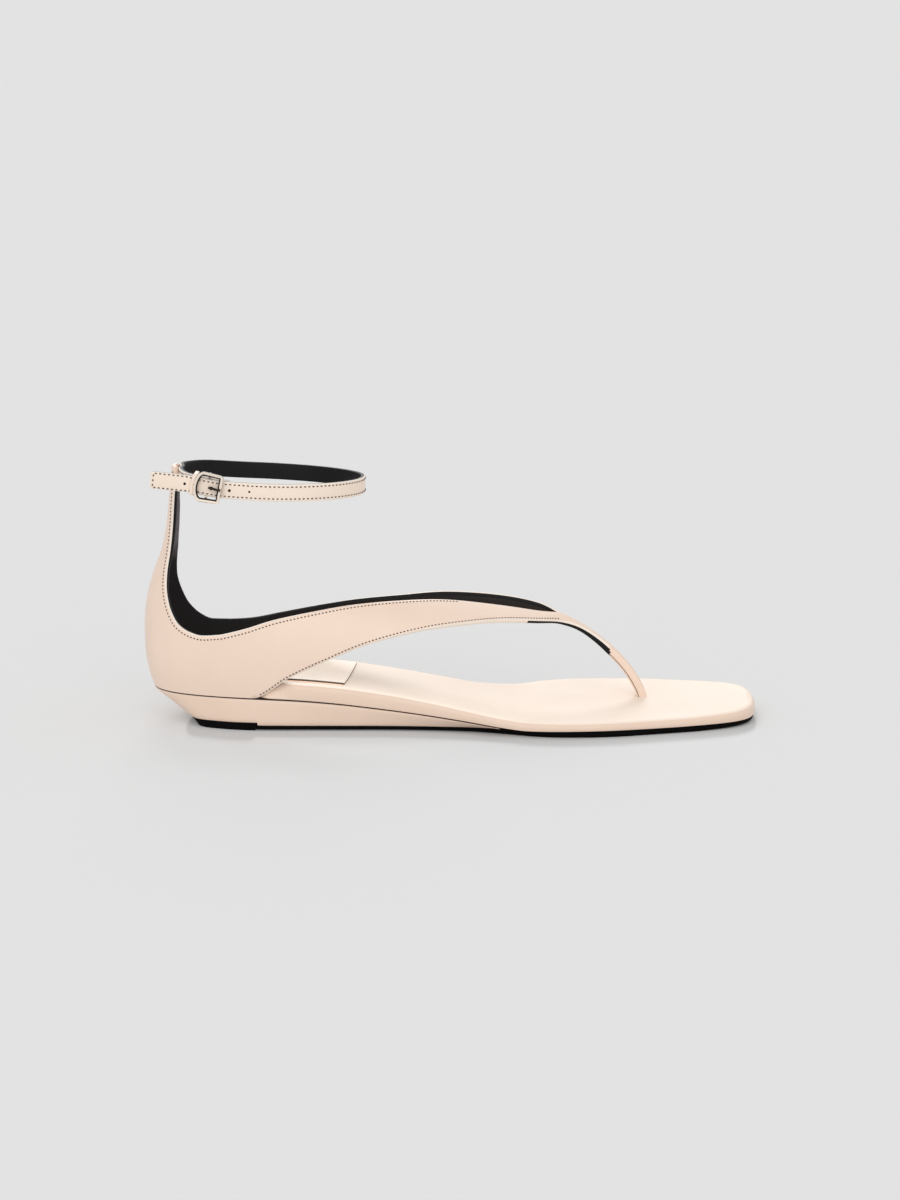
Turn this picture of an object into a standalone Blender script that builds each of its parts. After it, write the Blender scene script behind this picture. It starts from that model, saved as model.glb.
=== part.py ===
"""Right thong sandal on a low covered wedge, with a closed heel and a buckled ankle strap.

Every size below is in millimetres: x runs from heel to toe, y from the outer side (minus) to the
inner side (plus), z up from the floor. The meshes are scaled to metres when they are made.
"""
import math
from collections import namedtuple

import bmesh
import bpy
from mathutils import Vector

MILLIMETRE = 0.001
CLEARANCE = 0.3
SAME_POINT = 0.01
SMOOTH_ANGLE = 35.0
STEEP = 0.7
WIRE_SIDES = 8

# Driving sizes
OUTLINE_STEPS = 6
SIDE_STEPS = 40
CROSS_STEPS = 8
OUTSOLE_STEPS = 34
HEEL_STEPS = 14
SHANK_STEPS = 16
UPPER_WALL = 2.0
UPPER_COLUMNS = 6
UPPER_STEPS = 4
PLAN_STEPS = 400
WALL_GROWS_X = 20.0
LEAN_FADE = 25.0
BAND_FLUSH_X = -56.0
COUNTER_ROOM_RUN = 9.0
HEEL_SEAT_FRONT_X = -30.0
HEEL_SEAT_DISH = 0.9
INSOLE_DISH = 0.4
SOCK_INSET = 6.2
SOCK_FRONT = (-43.0, -38.5)
TOP_PIECE_FRONT_X = -78.0
OUTSOLE_BACK_X = -77.7
EDGE_BEVEL = 0.5
SOCK_THICKNESS = 0.8
SOCK_BEVEL = 0.25
STRAP_WIDTH = 6.8
STRAP_THICKNESS = 1.8
STRAP_CHAMFER = 0.35

# Sole edge, a row for each point from the heel's back to the toe: the feather edge that the upper
# stands on, and the edge of the sole at the floor, which is drawn in under the heel and the waist.
Edge = namedtuple("Edge", "x y floor_x floor_y")
HEEL_BACK = Edge(-122.0, 0.0, -104.4, 0.0)
TOE_TIP = Edge(126.3, 1.5, 125.8, 1.5)
OUTER_EDGE = [
    HEEL_BACK,
    Edge(-119.7, -9.0, -104.0, -11.5),
    Edge(-113.0, -17.2, -102.4, -20.6),
    Edge(-100.0, -23.8, -96.0, -25.2),
    Edge(-80.0, -28.6, -80.0, -29.4),
    Edge(-50.0, -30.6, -50.0, -29.8),
    Edge(-20.0, -32.6, -20.0, -30.0),
    Edge(5.0, -37.0, 5.0, -32.4),
    Edge(22.0, -41.8, 22.0, -36.4),
    Edge(40.0, -44.3, 40.0, -41.8),
    Edge(62.0, -42.6, 62.0, -41.6),
    Edge(85.0, -36.8, 84.7, -35.9),
    Edge(105.0, -30.3, 104.7, -29.6),
    Edge(117.4, -23.8, 117.1, -23.2),
    Edge(124.0, -14.2, 123.6, -14.0),
    TOE_TIP,
]
INNER_EDGE = [
    HEEL_BACK,
    Edge(-119.7, 9.0, -104.0, 11.5),
    Edge(-113.0, 17.2, -102.4, 20.6),
    Edge(-100.0, 23.6, -96.0, 25.0),
    Edge(-80.0, 26.8, -80.0, 26.0),
    Edge(-50.0, 25.4, -50.0, 22.4),
    Edge(-15.0, 22.6, -15.0, 19.6),
    Edge(10.0, 22.4, 10.0, 19.6),
    Edge(26.0, 28.6, 26.0, 26.2),
    Edge(40.0, 38.4, 40.0, 36.6),
    Edge(56.0, 43.7, 56.0, 42.2),
    Edge(78.0, 43.8, 77.8, 42.4),
    Edge(99.0, 40.0, 98.4, 38.7),
    Edge(114.6, 33.6, 113.8, 32.5),
    Edge(123.0, 25.2, 122.1, 24.4),
    Edge(126.0, 13.8, 124.9, 13.4),
    TOE_TIP,
]

# Heights along the sole, a row for each station
Height = namedtuple("Height", "x insole_top feather outsole_top floor")
SOLE_HEIGHTS = [
    Height(-126.0, 20.0, 13.6, 2.0, 0.4),
    Height(-82.0, 19.9, 13.2, 2.0, 0.4),
    Height(-65.0, 19.5, 12.7, 2.0, 0.4),
    Height(-48.0, 18.4, 11.6, 2.0, 0.4),
    Height(-26.0, 15.7, 9.3, 2.0, 0.4),
    Height(-4.0, 12.1, 6.8, 2.1, 0.4),
    Height(10.0, 9.5, 5.1, 2.3, 0.35),
    Height(22.0, 7.7, 3.7, 2.5, 0.15),
    Height(32.0, 6.7, 2.9, 2.6, 0.0),
    Height(60.0, 6.2, 2.8, 2.5, 0.0),
    Height(95.0, 6.3, 2.6, 2.3, 0.0),
    Height(112.0, 6.8, 2.6, 2.3, 0.3),
    Height(127.5, 7.7, 2.4, 2.1, 0.9),
]
WEDGE_FRONT_X = 20.0
WEDGE_STEP = (-78.2, -75.6)
OUTSOLE_TOP_DRAW = 0.9

# Levels of the sole pieces: how far each is drawn in from the feather edge (0) to the floor edge (1)
TopPieceLevel = namedtuple("TopPieceLevel", "z drawn_in inset cut_back")
TOP_PIECE_LEVELS = [
    TopPieceLevel(0.0, 1.06, 0.5, 1.0), TopPieceLevel(0.6, 1.02, 0.0, 0.3),
    TopPieceLevel(2.2, 0.91, 0.0, 0.0), TopPieceLevel(3.1, 0.84, 0.0, 0.8),
]
WedgeLevel = namedtuple("WedgeLevel", "up drawn_in")
WEDGE_LEVELS = [
    WedgeLevel(0.0, 0.83), WedgeLevel(0.3, 0.55), WedgeLevel(0.6, 0.28), WedgeLevel(0.85, 0.08),
    WedgeLevel(1.0, 0.0),
]
BandLevel = namedtuple("BandLevel", "below_top inset")
BAND_LEVELS = [BandLevel(2.0, 0.1), BandLevel(1.0, 0.5), BandLevel(0.3, 1.3), BandLevel(0.0, 2.8)]

# Outward swing of the heel's wall over the feather edge, by height
Swing = namedtuple("Swing", "z out")
HEEL_SWING = [
    Swing(13.0, 0.0), Swing(22.0, 2.6), Swing(30.0, 3.5), Swing(39.6, 3.6), Swing(46.0, 3.0),
    Swing(55.0, 1.3), Swing(62.0, -1.0), Swing(70.0, -4.0), Swing(80.0, -6.1), Swing(92.0, -7.5),
    Swing(101.0, -8.6),
]

# Top line of the counter: how far along the feather edge from the heel's back, and its height
TopLine = namedtuple("TopLine", "along outer inner share")
COUNTER_TOP = [
    TopLine(0.0, 104.2, 104.2, 1.0),
    TopLine(6.4, 104.2, 104.2, 1.0),
    TopLine(10.0, 103.5, 103.5, 1.0),
    TopLine(11.0, 91.8, 91.7, 1.0),
    TopLine(12.3, 81.8, 84.3, 0.98),
    TopLine(14.3, 68.8, 72.7, 0.94),
    TopLine(16.8, 59.1, 62.8, 0.86),
    TopLine(18.8, 52.7, 55.8, 0.8),
    TopLine(21.6, 46.5, 49.3, 0.74),
    TopLine(25.0, 41.8, 43.1, 0.65),
    TopLine(29.8, 39.1, 38.1, 0.56),
    TopLine(34.9, 37.9, 35.5, 0.46),
    TopLine(42.8, 38.6, 35.0, 0.36),
]

# Strap sections from the counter's front to the fork of the toe post
Section = namedtuple("Section", "low_x low_y low_z top_x top_y top_z belly")
OUTER_STRAP = [
    Section(-78.0, -28.8, 13.5, -82.0, -28.4, 41.4, 0.9),
    Section(-65.0, -30.6, 21.9, -71.0, -28.0, 44.9, 1.2),
    Section(-49.8, -31.8, 29.3, -56.0, -26.2, 48.0, 1.2),
    Section(-32.9, -31.2, 36.3, -39.0, -22.8, 50.5, 1.1),
    Section(-12.5, -27.6, 41.3, -19.5, -16.8, 51.2, 0.9),
    Section(3.0, -22.3, 42.9, -1.0, -9.6, 50.2, 0.7),
    Section(20.4, -12.4, 42.7, 20.6, 0.2, 46.1, 0.5),
    Section(36.6, -1.4, 40.4, 36.9, 7.2, 42.4, 0.3),
]
INNER_STRAP = [
    Section(-78.0, 27.0, 13.5, -82.0, 26.8, 35.8, 0.8),
    Section(-65.0, 28.6, 20.9, -71.0, 27.0, 38.0, 1.0),
    Section(-49.8, 29.2, 26.6, -56.0, 26.6, 41.0, 1.0),
    Section(-32.9, 28.9, 32.0, -39.0, 25.4, 44.0, 1.0),
    Section(-12.5, 27.6, 37.0, -19.5, 23.0, 46.4, 0.9),
    Section(3.0, 26.0, 39.6, -1.0, 20.2, 48.3, 0.7),
    Section(20.4, 22.6, 40.6, 20.6, 16.2, 47.7, 0.5),
    Section(36.6, 18.0, 39.0, 36.9, 13.0, 45.0, 0.3),
]

# Fork and toe post, a row for each section: its middle, half width, drop to its sides, and wall
Post = namedtuple("Post", "x y z half_width drop wall")
TOE_POST = [
    Post(46.6, 11.0, 40.6, 4.6, 2.2, 1.9),
    Post(54.0, 11.2, 36.9, 3.1, 0.9, 2.2),
    Post(61.5, 11.1, 32.0, 2.6, 0.5, 2.8),
    Post(69.0, 10.8, 25.6, 2.6, 0.4, 3.3),
    Post(75.5, 10.4, 18.6, 2.7, 0.4, 3.6),
    Post(80.0, 10.0, 11.6, 2.8, 0.4, 3.8),
    Post(82.0, 9.8, 6.4, 2.8, 0.4, 3.8),
    Post(82.3, 9.8, 5.2, 2.8, 0.4, 3.8),
]

# Pocket in the insole for the post's foot
POCKET_ROOM = 0.6
POCKET_ROOM_BACK = 1.2
POCKET_HEIGHT = 6.0

# Ankle strap's middle line, from its end under the buckle, round the ankle, to its free end
Route = namedtuple("Route", "x y z")
STRAP_ROUTE = [
    Route(-88.0, -26.4, 98.2), Route(-96.0, -26.6, 99.6), Route(-104.4, -25.6, 101.3),
    Route(-107.8, -18.4, 102.2), Route(-107.9, -9.5, 102.1), Route(-109.0, 0.0, 101.8),
    Route(-107.4, 10.5, 101.1), Route(-100.8, 21.0, 100.1), Route(-87.0, 27.6, 98.5),
    Route(-72.0, 29.2, 97.6), Route(-56.4, 27.0, 96.8), Route(-44.2, 20.0, 96.4),
    Route(-37.3, 9.5, 96.5), Route(-35.3, -1.0, 96.6), Route(-37.9, -12.0, 96.7),
    Route(-45.8, -21.2, 96.8), Route(-57.2, -27.4, 97.0), Route(-70.0, -30.0, 97.3),
    Route(-83.0, -30.4, 98.0), Route(-93.0, -30.4, 98.9), Route(-104.0, -30.6, 101.0),
    Route(-118.7, -31.6, 102.8),
]
STRAP_STEPS = 5

# Buckle: a frame that is flat at its front bar and round at its back
BUCKLE_MIDDLE = (-96.1, -32.5, 99.7)
BUCKLE_SLOPE = 11.5
BUCKLE_LENGTH = 11.1
BUCKLE_HALF_HEIGHT = 5.0
BUCKLE_BACK_HALF_HEIGHT = 5.3
BUCKLE_BACK_REACH = 2.7
BUCKLE_WIRE = 0.75
Corner = namedtuple("Corner", "back down")
BUCKLE_CORNER = [Corner(0.0, 0.8), Corner(0.25, 0.2), Corner(0.9, 0.0)]
BUCKLE_ARC_STEPS = 12
HINGE_BAR = 0.6
HINGE_TURN = 0.75
PRONG = 0.5
ProngPoint = namedtuple("ProngPoint", "back inward")
PRONG_PATH = [
    ProngPoint(4.4, 1.95), ProngPoint(3.2, 1.6), ProngPoint(1.8, 0.9), ProngPoint(0.5, 0.0),
    ProngPoint(-0.5, 0.0),
]

# Keeper: where its loop lies behind the buckle, and between which outer and inner lines
KEEPER_ALONG = -6.9
KEEPER_WIDTH = 2.0
KEEPER_WALL = 1.2
KEEPER_CHAMFER = 0.4
KEEPER_ROOM = 0.5
KEEPER_OUTSIDE = -31.8
KEEPER_INSIDE = -23.6


def between(rows, key, column, value):
    """Smooth reading of one column of a table at a value of its key column."""
    keys = [getattr(row, key) for row in rows]
    values = [getattr(row, column) for row in rows]
    if value <= keys[0]:
        return values[0]
    if value >= keys[-1]:
        return values[-1]
    i = max(j for j in range(len(keys) - 1) if keys[j] <= value)
    slopes = [(values[j + 1] - values[j]) / (keys[j + 1] - keys[j]) for j in range(len(keys) - 1)]

    def tangent(j):
        if j == 0 or j == len(keys) - 1:
            return slopes[min(j, len(slopes) - 1)]
        if slopes[j - 1] * slopes[j] <= 0.0:
            return 0.0
        return 2.0 * slopes[j - 1] * slopes[j] / (slopes[j - 1] + slopes[j])

    span = keys[i + 1] - keys[i]
    t = (value - keys[i]) / span
    return (values[i] * (1 + 2 * t) * (1 - t) ** 2 + tangent(i) * span * t * (1 - t) ** 2
            + values[i + 1] * t * t * (3 - 2 * t) - tangent(i + 1) * span * t * t * (1 - t))


def smooth_path(points, steps, start=None, end=None):
    """Points on a smooth curve through the given ones, with steps to each span."""
    first = start or points[0] * 2 - points[1]
    last = end or points[-1] * 2 - points[-2]
    chain = [first] + list(points) + [last]
    path = []
    for i in range(1, len(chain) - 2):
        a, b, c, d = chain[i - 1:i + 3]
        for k in range(steps):
            t = k / steps
            path.append((b * 2 + (c - a) * t + (a * 2 - b * 5 + c * 4 - d) * t ** 2
                         + (b * 3 - a - c * 3 + d) * t ** 3) * 0.5)
    return path + [points[-1].copy()]


def even_spacing(path, count):
    """The same line read again at count equal steps of its length."""
    lengths = [0.0]
    for a, b in zip(path, path[1:]):
        lengths.append(lengths[-1] + (b - a).length)
    result = []
    j = 0
    for k in range(count + 1):
        target = lengths[-1] * k / count
        while j < len(path) - 2 and lengths[j + 1] < target:
            j += 1
        share = (target - lengths[j]) / (lengths[j + 1] - lengths[j])
        result.append(path[j].lerp(path[j + 1], min(share, 1.0)))
    return result


def make_material(name, colour, roughness, metallic=0.0):
    material = bpy.data.materials.new(name)
    material.use_nodes = True
    shader = material.node_tree.nodes["Principled BSDF"]
    shader.inputs["Base Color"].default_value = (*colour, 1.0)
    shader.inputs["Roughness"].default_value = roughness
    shader.inputs["Metallic"].default_value = metallic
    return material


def make_object(name, points, faces, material):
    """One named object from points in millimetres, with its faces turned outwards."""
    mesh = bpy.data.meshes.new(name)
    mesh.from_pydata([tuple(p * MILLIMETRE for p in point) for point in points], [], faces)
    shape = bmesh.new()
    shape.from_mesh(mesh)
    bmesh.ops.recalc_face_normals(shape, faces=shape.faces)
    shape.to_mesh(mesh)
    shape.free()
    mesh.materials.append(material)
    mesh.shade_smooth()
    mesh.set_sharp_from_angle(angle=math.radians(SMOOTH_ANGLE))
    thing = bpy.data.objects.new(name, mesh)
    bpy.context.collection.objects.link(thing)
    return thing


# Sole

def sole_side(rows, other):
    """One side of the sole from heel to toe: each point holds its feather and its floor edge."""
    points = [Vector(row) for row in rows]
    path = smooth_path(points, OUTLINE_STEPS, start=Vector(other[1]), end=Vector(other[-2]))
    return even_spacing(path, SIDE_STEPS)


def with_station(side, x):
    """The same side with a point added where its feather edge passes x."""
    for i, (a, b) in enumerate(zip(side, side[1:])):
        if a[0] < x < b[0]:
            return side[:i + 1] + [a.lerp(b, (x - a[0]) / (b[0] - a[0]))] + side[i + 1:]
    return side


def stretch(side, back_x=None, front_x=None):
    """The points of a side between two stations."""
    for x in (back_x, front_x):
        if x is not None:
            side = with_station(side, x)
    low = -math.inf if back_x is None else back_x - SAME_POINT
    high = math.inf if front_x is None else front_x + SAME_POINT
    return [point for point in side if low <= point[0] <= high]


def sole_height(column, x):
    return between(SOLE_HEIGHTS, "x", column, x)


def side_run(side, back_x, stops):
    """A side from back_x through each stop (its station and how many steps lead to it)."""
    run = []
    for x, count in stops:
        piece = even_spacing(stretch(side, back_x, x), count)
        run += piece[1:] if run else piece
        back_x = x
    return run


def sole_ring(sides, draw, inset, height):
    """The edge of a sole piece at one level, as its outer and its inner line."""
    lines = []
    size = inset if callable(inset) else (lambda point: inset)
    for side, turn in zip(sides, (1.0, -1.0)):
        plan = [Vector((p[0] + (p[2] - p[0]) * draw, p[1] + (p[3] - p[1]) * draw, 0.0)) for p in side]
        moved = []
        for i, point in enumerate(plan):
            ahead = plan[min(i + 1, len(plan) - 1)] - plan[max(i - 1, 0)]
            square = Vector((-ahead.y, ahead.x, 0.0)).normalized() * turn
            moved.append(point + square * size(point))
        lines.append(moved)
    for end, inward in ((0, 1.0), (-1, -1.0)):
        if sides[0][end] == sides[1][end]:
            tip = sides[0][end]
            tip = Vector((tip[0] + (tip[2] - tip[0]) * draw, tip[1] + (tip[3] - tip[1]) * draw, 0.0))
            tip.x += inward * size(tip)
            lines[0][end] = tip
            lines[1][end] = tip.copy()
    for line in lines:
        for point in line:
            point.z = height(point.x)
    return lines


def sole_solid(name, rings, material, bottom_columns=1, top_columns=1, dish=None):
    """A closed piece from rings, bottom to top, with its two faces laid across in columns."""
    points = []
    faces = []

    def add(point):
        points.append(point)
        return len(points) - 1

    def crossing(a, b, columns):
        """Numbers of the points that lead from point a across to point b."""
        line = [a]
        for k in range(1, columns):
            middle = points[a].lerp(points[b], k / columns)
            if dish:
                middle.z += dish(middle, k / columns)
            line.append(add(middle))
        return line + [b]

    count = len(rings[0][0])
    end_columns = min(bottom_columns, top_columns)
    loops = []
    ends = []
    for outer, inner in rings:
        outer_numbers = [add(point) for point in outer]
        inner_numbers = [outer_numbers[0] if (inner[0] - outer[0]).length < SAME_POINT else add(inner[0])]
        inner_numbers += [add(point) for point in inner[1:-1]]
        tip_shared = (inner[-1] - outer[-1]).length < SAME_POINT
        inner_numbers.append(outer_numbers[-1] if tip_shared else add(inner[-1]))
        end = [outer_numbers[-1]]
        if not tip_shared:
            end = crossing(outer_numbers[-1], inner_numbers[-1], end_columns)
        loop = outer_numbers[:-1] + end + inner_numbers[-2::-1]
        loops.append([n for i, n in enumerate(loop) if n != loop[i - 1]])
        ends.append((outer_numbers, inner_numbers, end))
    for low, high in zip(loops, loops[1:]):
        for i in range(len(low)):
            faces.append((low[i - 1], low[i], high[i], high[i - 1]))
    for (outer, inner, end), columns in ((ends[0], bottom_columns), (ends[-1], top_columns)):
        rows = []
        for i in range(count - 1):
            shared = outer[i] == inner[i]
            rows.append([outer[i]] if shared else crossing(outer[i], inner[i], columns))
        rows.append(end)
        for low, high in zip(rows, rows[1:]):
            if len(low) == 1 or len(high) == 1:
                tip, line = (low[0], high) if len(low) == 1 else (high[0], low)
                faces.extend((tip, a, b) for a, b in zip(line, line[1:]))
                continue
            faces.extend((low[k], low[k + 1], high[k + 1], high[k]) for k in range(len(low) - 1))
    return make_object(name, points, faces, material)


def make_outsole(sides, material):
    sides = [side_run(side, OUTSOLE_BACK_X, [(None, OUTSOLE_STEPS)]) for side in sides]
    rings = [
        sole_ring(sides, 1.0, EDGE_BEVEL, lambda x: sole_height("floor", x)),
        sole_ring(sides, 1.0, 0.0, lambda x: sole_height("floor", x) + EDGE_BEVEL),
        sole_ring(sides, OUTSOLE_TOP_DRAW, 0.0, lambda x: sole_height("outsole_top", x)),
    ]
    return sole_solid("outsole", rings, material)


def make_top_piece(sides, material):
    rings = []
    for row in TOP_PIECE_LEVELS:
        cut = [side_run(side, None, [(TOP_PIECE_FRONT_X - row.cut_back, HEEL_STEPS)]) for side in sides]
        rings.append(sole_ring(cut, row.drawn_in, row.inset, lambda x, row=row: row.z))
    return sole_solid("heel_top_piece", rings, material)


def make_wedge(sides, material):
    stops = [(WEDGE_STEP[0], HEEL_STEPS), (WEDGE_STEP[1], 1), (WEDGE_FRONT_X, SHANK_STEPS)]
    sides = [side_run(side, None, stops) for side in sides]

    def bottom(x):
        over_top_piece = x < sum(WEDGE_STEP) / 2
        under = TOP_PIECE_LEVELS[-1].z if over_top_piece else sole_height("outsole_top", x)
        return under + CLEARANCE

    def level(up):
        return lambda x: bottom(x) + (sole_height("feather", x) - CLEARANCE - bottom(x)) * up

    rings = [sole_ring(sides, row.drawn_in, 0.0, level(row.up)) for row in WEDGE_LEVELS]
    return sole_solid("wedge_heel", rings, material)


def counter_room(point):
    """How far the insole is drawn in, to lie inside the counter and the straps' roots."""
    share = min(max((BAND_FLUSH_X - point.x) / COUNTER_ROOM_RUN, 0.0), 1.0)
    return (UPPER_WALL + 2 * CLEARANCE) * share * share * (3 - 2 * share)


def insole_dish(point, across):
    """Shallow hollow across the insole, deeper in the heel seat."""
    depth = HEEL_SEAT_DISH if point.x < HEEL_SEAT_FRONT_X else INSOLE_DISH
    return -depth * 4.0 * across * (1.0 - across)


def make_insole(sides, material):
    top = lambda x: sole_height("insole_top", x)
    rings = [
        sole_ring(sides, 0.0, lambda p: counter_room(p) + EDGE_BEVEL, lambda x: sole_height("feather", x)),
        sole_ring(sides, 0.0, counter_room, lambda x: sole_height("feather", x) + EDGE_BEVEL),
    ]
    for row in BAND_LEVELS:
        rings.append(sole_ring(sides, 0.0, lambda p, row=row: counter_room(p) + row.inset,
                               lambda x, row=row: top(x) - row.below_top))
    return sole_solid("insole", rings, material, top_columns=CROSS_STEPS, dish=insole_dish)


def make_sock(sides, material):
    """Thin bare patch over the heel seat, with a slanted front edge."""
    sides = [side_run(side, None, [(x, SHANK_STEPS)]) for side, x in zip(sides, SOCK_FRONT)]

    def level(above):
        return lambda x: sole_height("insole_top", x) + above

    rings = [
        sole_ring(sides, 0.0, SOCK_INSET, level(CLEARANCE)),
        sole_ring(sides, 0.0, SOCK_INSET, level(SOCK_THICKNESS - SOCK_BEVEL)),
        sole_ring(sides, 0.0, SOCK_INSET + SOCK_BEVEL, level(SOCK_THICKNESS)),
    ]
    return sole_solid("heel_sock", rings, material, CROSS_STEPS, CROSS_STEPS, insole_dish)


# Upper

def counter_sections(side, turn, column):
    """Upright sections of the counter, from the heel's back along one side's feather edge."""
    plan = even_spacing([Vector((p[0], p[1], 0.0)) for p in side], PLAN_STEPS)
    lengths = [0.0]
    for a, b in zip(plan, plan[1:]):
        lengths.append(lengths[-1] + (b - a).length)
    stations = [COUNTER_TOP[0].along]
    for a, b in zip(COUNTER_TOP, COUNTER_TOP[1:]):
        stations += [(a.along + b.along) / 2, b.along]
    sections = []
    for along in stations:
        i = max(j for j in range(len(lengths) - 1) if lengths[j] <= along)
        foot = plan[i].lerp(plan[i + 1], (along - lengths[i]) / (lengths[i + 1] - lengths[i]))
        ahead = plan[i + 1] - plan[max(i - 1, 0)]
        outward = Vector((ahead.y, -ahead.x, 0.0)).normalized() * turn
        if along == 0.0:
            outward = Vector((-1.0, 0.0, 0.0))
        low = sole_height("feather", foot.x)
        top = between(COUNTER_TOP, "along", column, along)
        share = between(COUNTER_TOP, "along", "share", along)
        section = []
        for k in range(UPPER_COLUMNS + 1):
            z = low + (top - low) * k / UPPER_COLUMNS
            point = foot + outward * (between(HEEL_SWING, "z", "out", z) * share)
            section.append(Vector((point.x, point.y, z)))
        sections.append(section)
    return sections


def strap_section(row, turn):
    """One section of a strap, from its lower to its top edge, crowned outwards."""
    low = Vector((row.low_x, row.low_y, row.low_z))
    top = Vector((row.top_x, row.top_y, row.top_z))
    outward = Vector((1.0, 0.0, 0.0)).cross(top - low).normalized() * turn
    section = []
    for k in range(UPPER_COLUMNS + 1):
        t = k / UPPER_COLUMNS
        section.append(low.lerp(top, t) + outward * (row.belly * 4.0 * t * (1.0 - t)))
    return section


def post_section(row, turn):
    """Half a section of the toe post, from its side to its middle."""
    section = []
    for k in range(UPPER_COLUMNS + 1):
        out = 1.0 - k / UPPER_COLUMNS
        section.append(Vector((row.x, row.y - turn * row.half_width * out, row.z - row.drop * out ** 2)))
    return section


def upper_side(side, turn, column, strap):
    """All sections of one side of the upper, and how many of them are behind the fork."""
    counter = counter_sections(side, turn, column)
    keys = [counter[-1]] + [strap_section(row, turn) for row in strap]
    keys += [post_section(row, turn) for row in TOE_POST]
    columns = [smooth_path(list(line), UPPER_STEPS, start=counter[-2][k])
               for k, line in enumerate(zip(*keys))]
    rows = [list(row) for row in zip(*columns)]
    for row in rows:
        row[0].z = max(row[0].z, sole_height("feather", row[0].x))
    fork = len(counter) - 1 + UPPER_STEPS * (1 + len(strap))
    return counter[:-1] + rows, fork


def upper_wall(point):
    """Wall thickness, growing from the straps into the rolled toe post."""
    if point.x < TOE_POST[0].x:
        share = min(max((point.x - WALL_GROWS_X) / (TOE_POST[0].x - WALL_GROWS_X), 0.0), 1.0)
        return UPPER_WALL + (TOE_POST[0].wall - UPPER_WALL) * share
    return between(TOE_POST, "x", "wall", point.x)


def make_upper(sides, material):
    """Counter, back strip, straps and toe post as one sheet, thickened inwards."""
    outer, fork = upper_side(sides[0], 1.0, "outer", OUTER_STRAP)
    inner, _ = upper_side(sides[1], -1.0, "inner", INNER_STRAP)
    sheet = bmesh.new()
    grids = []
    for rows in (outer, inner):
        grid = []
        for i, row in enumerate(rows):
            line = []
            for k, point in enumerate(row):
                shared_back = grids and i == 0
                shared_middle = grids and i >= fork and k == UPPER_COLUMNS
                if shared_back or shared_middle:
                    vertex = grids[0][i][k]
                    vertex.co = (vertex.co + point) / 2.0
                else:
                    vertex = sheet.verts.new(point)
                line.append(vertex)
            grid.append(line)
        grids.append(grid)
    for grid, flip in zip(grids, (False, True)):
        for low, high in zip(grid, grid[1:]):
            for k in range(UPPER_COLUMNS):
                corners = (low[k], high[k], high[k + 1], low[k + 1])
                sheet.faces.new(reversed(corners) if flip else corners)
    sheet.normal_update()
    points = [vertex.co.copy() for vertex in sheet.verts]
    sheet.verts.index_update()
    count = len(points)
    for vertex in sheet.verts:
        inward = -vertex.normal
        inward.y *= min(max((TOE_POST[0].x - vertex.co.x) / LEAN_FADE, 0.0), 1.0)
        points.append(vertex.co + inward.normalized() * upper_wall(vertex.co))
    faces = []
    for face in sheet.faces:
        numbers = [vertex.index for vertex in face.verts]
        faces.append(tuple(numbers))
        faces.append(tuple(n + count for n in reversed(numbers)))
    for edge in sheet.edges:
        if edge.is_boundary:
            a, b = (vertex.index for vertex in edge.verts)
            faces.append((a, b, b + count, a + count))
    sheet.free()
    return make_object("upper", points, faces, material)


# Ankle strap, buckle and keeper

def swept(path, section, closed=False):
    """A section carried along a path, as points and faces. A section point is (out, up)."""
    points = []
    count = len(path)
    for i, point in enumerate(path):
        back = path[i - 1] if closed or i else path[0]
        ahead = path[(i + 1) % count] if closed or i < count - 1 else path[-1]
        along = (ahead - back).normalized()
        upright = Vector((0.0, 0.0, 1.0)) if abs(along.z) < STEEP else Vector((1.0, 0.0, 0.0))
        up = (upright - along * along.dot(upright)).normalized()
        out = along.cross(up)
        points += [point + out * o + up * u for o, u in section]
    size = len(section)
    faces = []
    for i in range(count if closed else count - 1):
        low, high = i * size, (i + 1) % count * size
        for k in range(size):
            n = (k + 1) % size
            faces.append((low + k, low + n, high + n, high + k))
    if not closed:
        faces.append(tuple(range(size)))
        faces.append(tuple((count - 1) * size + k for k in range(size)))
    return points, faces


def chamfered(half_width, half_height, chamfer):
    """Corners of a rectangle with its corners cut, as (across, up)."""
    w, h, c = half_width, half_height, chamfer
    return [(w, -h + c), (w, h - c), (w - c, h), (-w + c, h), (-w, h - c), (-w, -h + c),
            (-w + c, -h), (w - c, -h)]


def round_section(radius):
    turns = [2.0 * math.pi * (k + 0.5) / WIRE_SIDES for k in range(WIRE_SIDES)]
    return [(radius * math.cos(turn), radius * math.sin(turn)) for turn in turns]


def make_ankle_strap(material):
    path = smooth_path([Vector(row) for row in STRAP_ROUTE], STRAP_STEPS)
    section = chamfered(STRAP_THICKNESS / 2, STRAP_WIDTH / 2, STRAP_CHAMFER)
    return make_object("ankle_strap", *swept(path, section), material)


def buckle_place(along, inward, up):
    """A point given from the buckle's middle: along the strap, towards the ankle, and up."""
    slope = math.radians(BUCKLE_SLOPE)
    run = Vector((math.cos(slope), 0.0, -math.sin(slope)))
    rise = Vector((math.sin(slope), 0.0, math.cos(slope)))
    return Vector(BUCKLE_MIDDLE) + run * along + rise * up + Vector((0.0, inward, 0.0))


def buckle_outline():
    """The frame's middle line: a flat bar in front, widening rails and a round back."""
    front = BUCKLE_LENGTH / 2 - BUCKLE_WIRE
    back_centre = -front + BUCKLE_BACK_REACH
    corner = [(front - row.back, BUCKLE_HALF_HEIGHT - row.down) for row in BUCKLE_CORNER]
    line = [(front, 0.0)] + corner
    for k in range(BUCKLE_ARC_STEPS + 1):
        turn = math.pi * (0.5 + k / BUCKLE_ARC_STEPS)
        line.append((back_centre + BUCKLE_BACK_REACH * math.cos(turn),
                     BUCKLE_BACK_HALF_HEIGHT * math.sin(turn)))
    return line + [(along, -up) for along, up in reversed(corner)]


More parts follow.
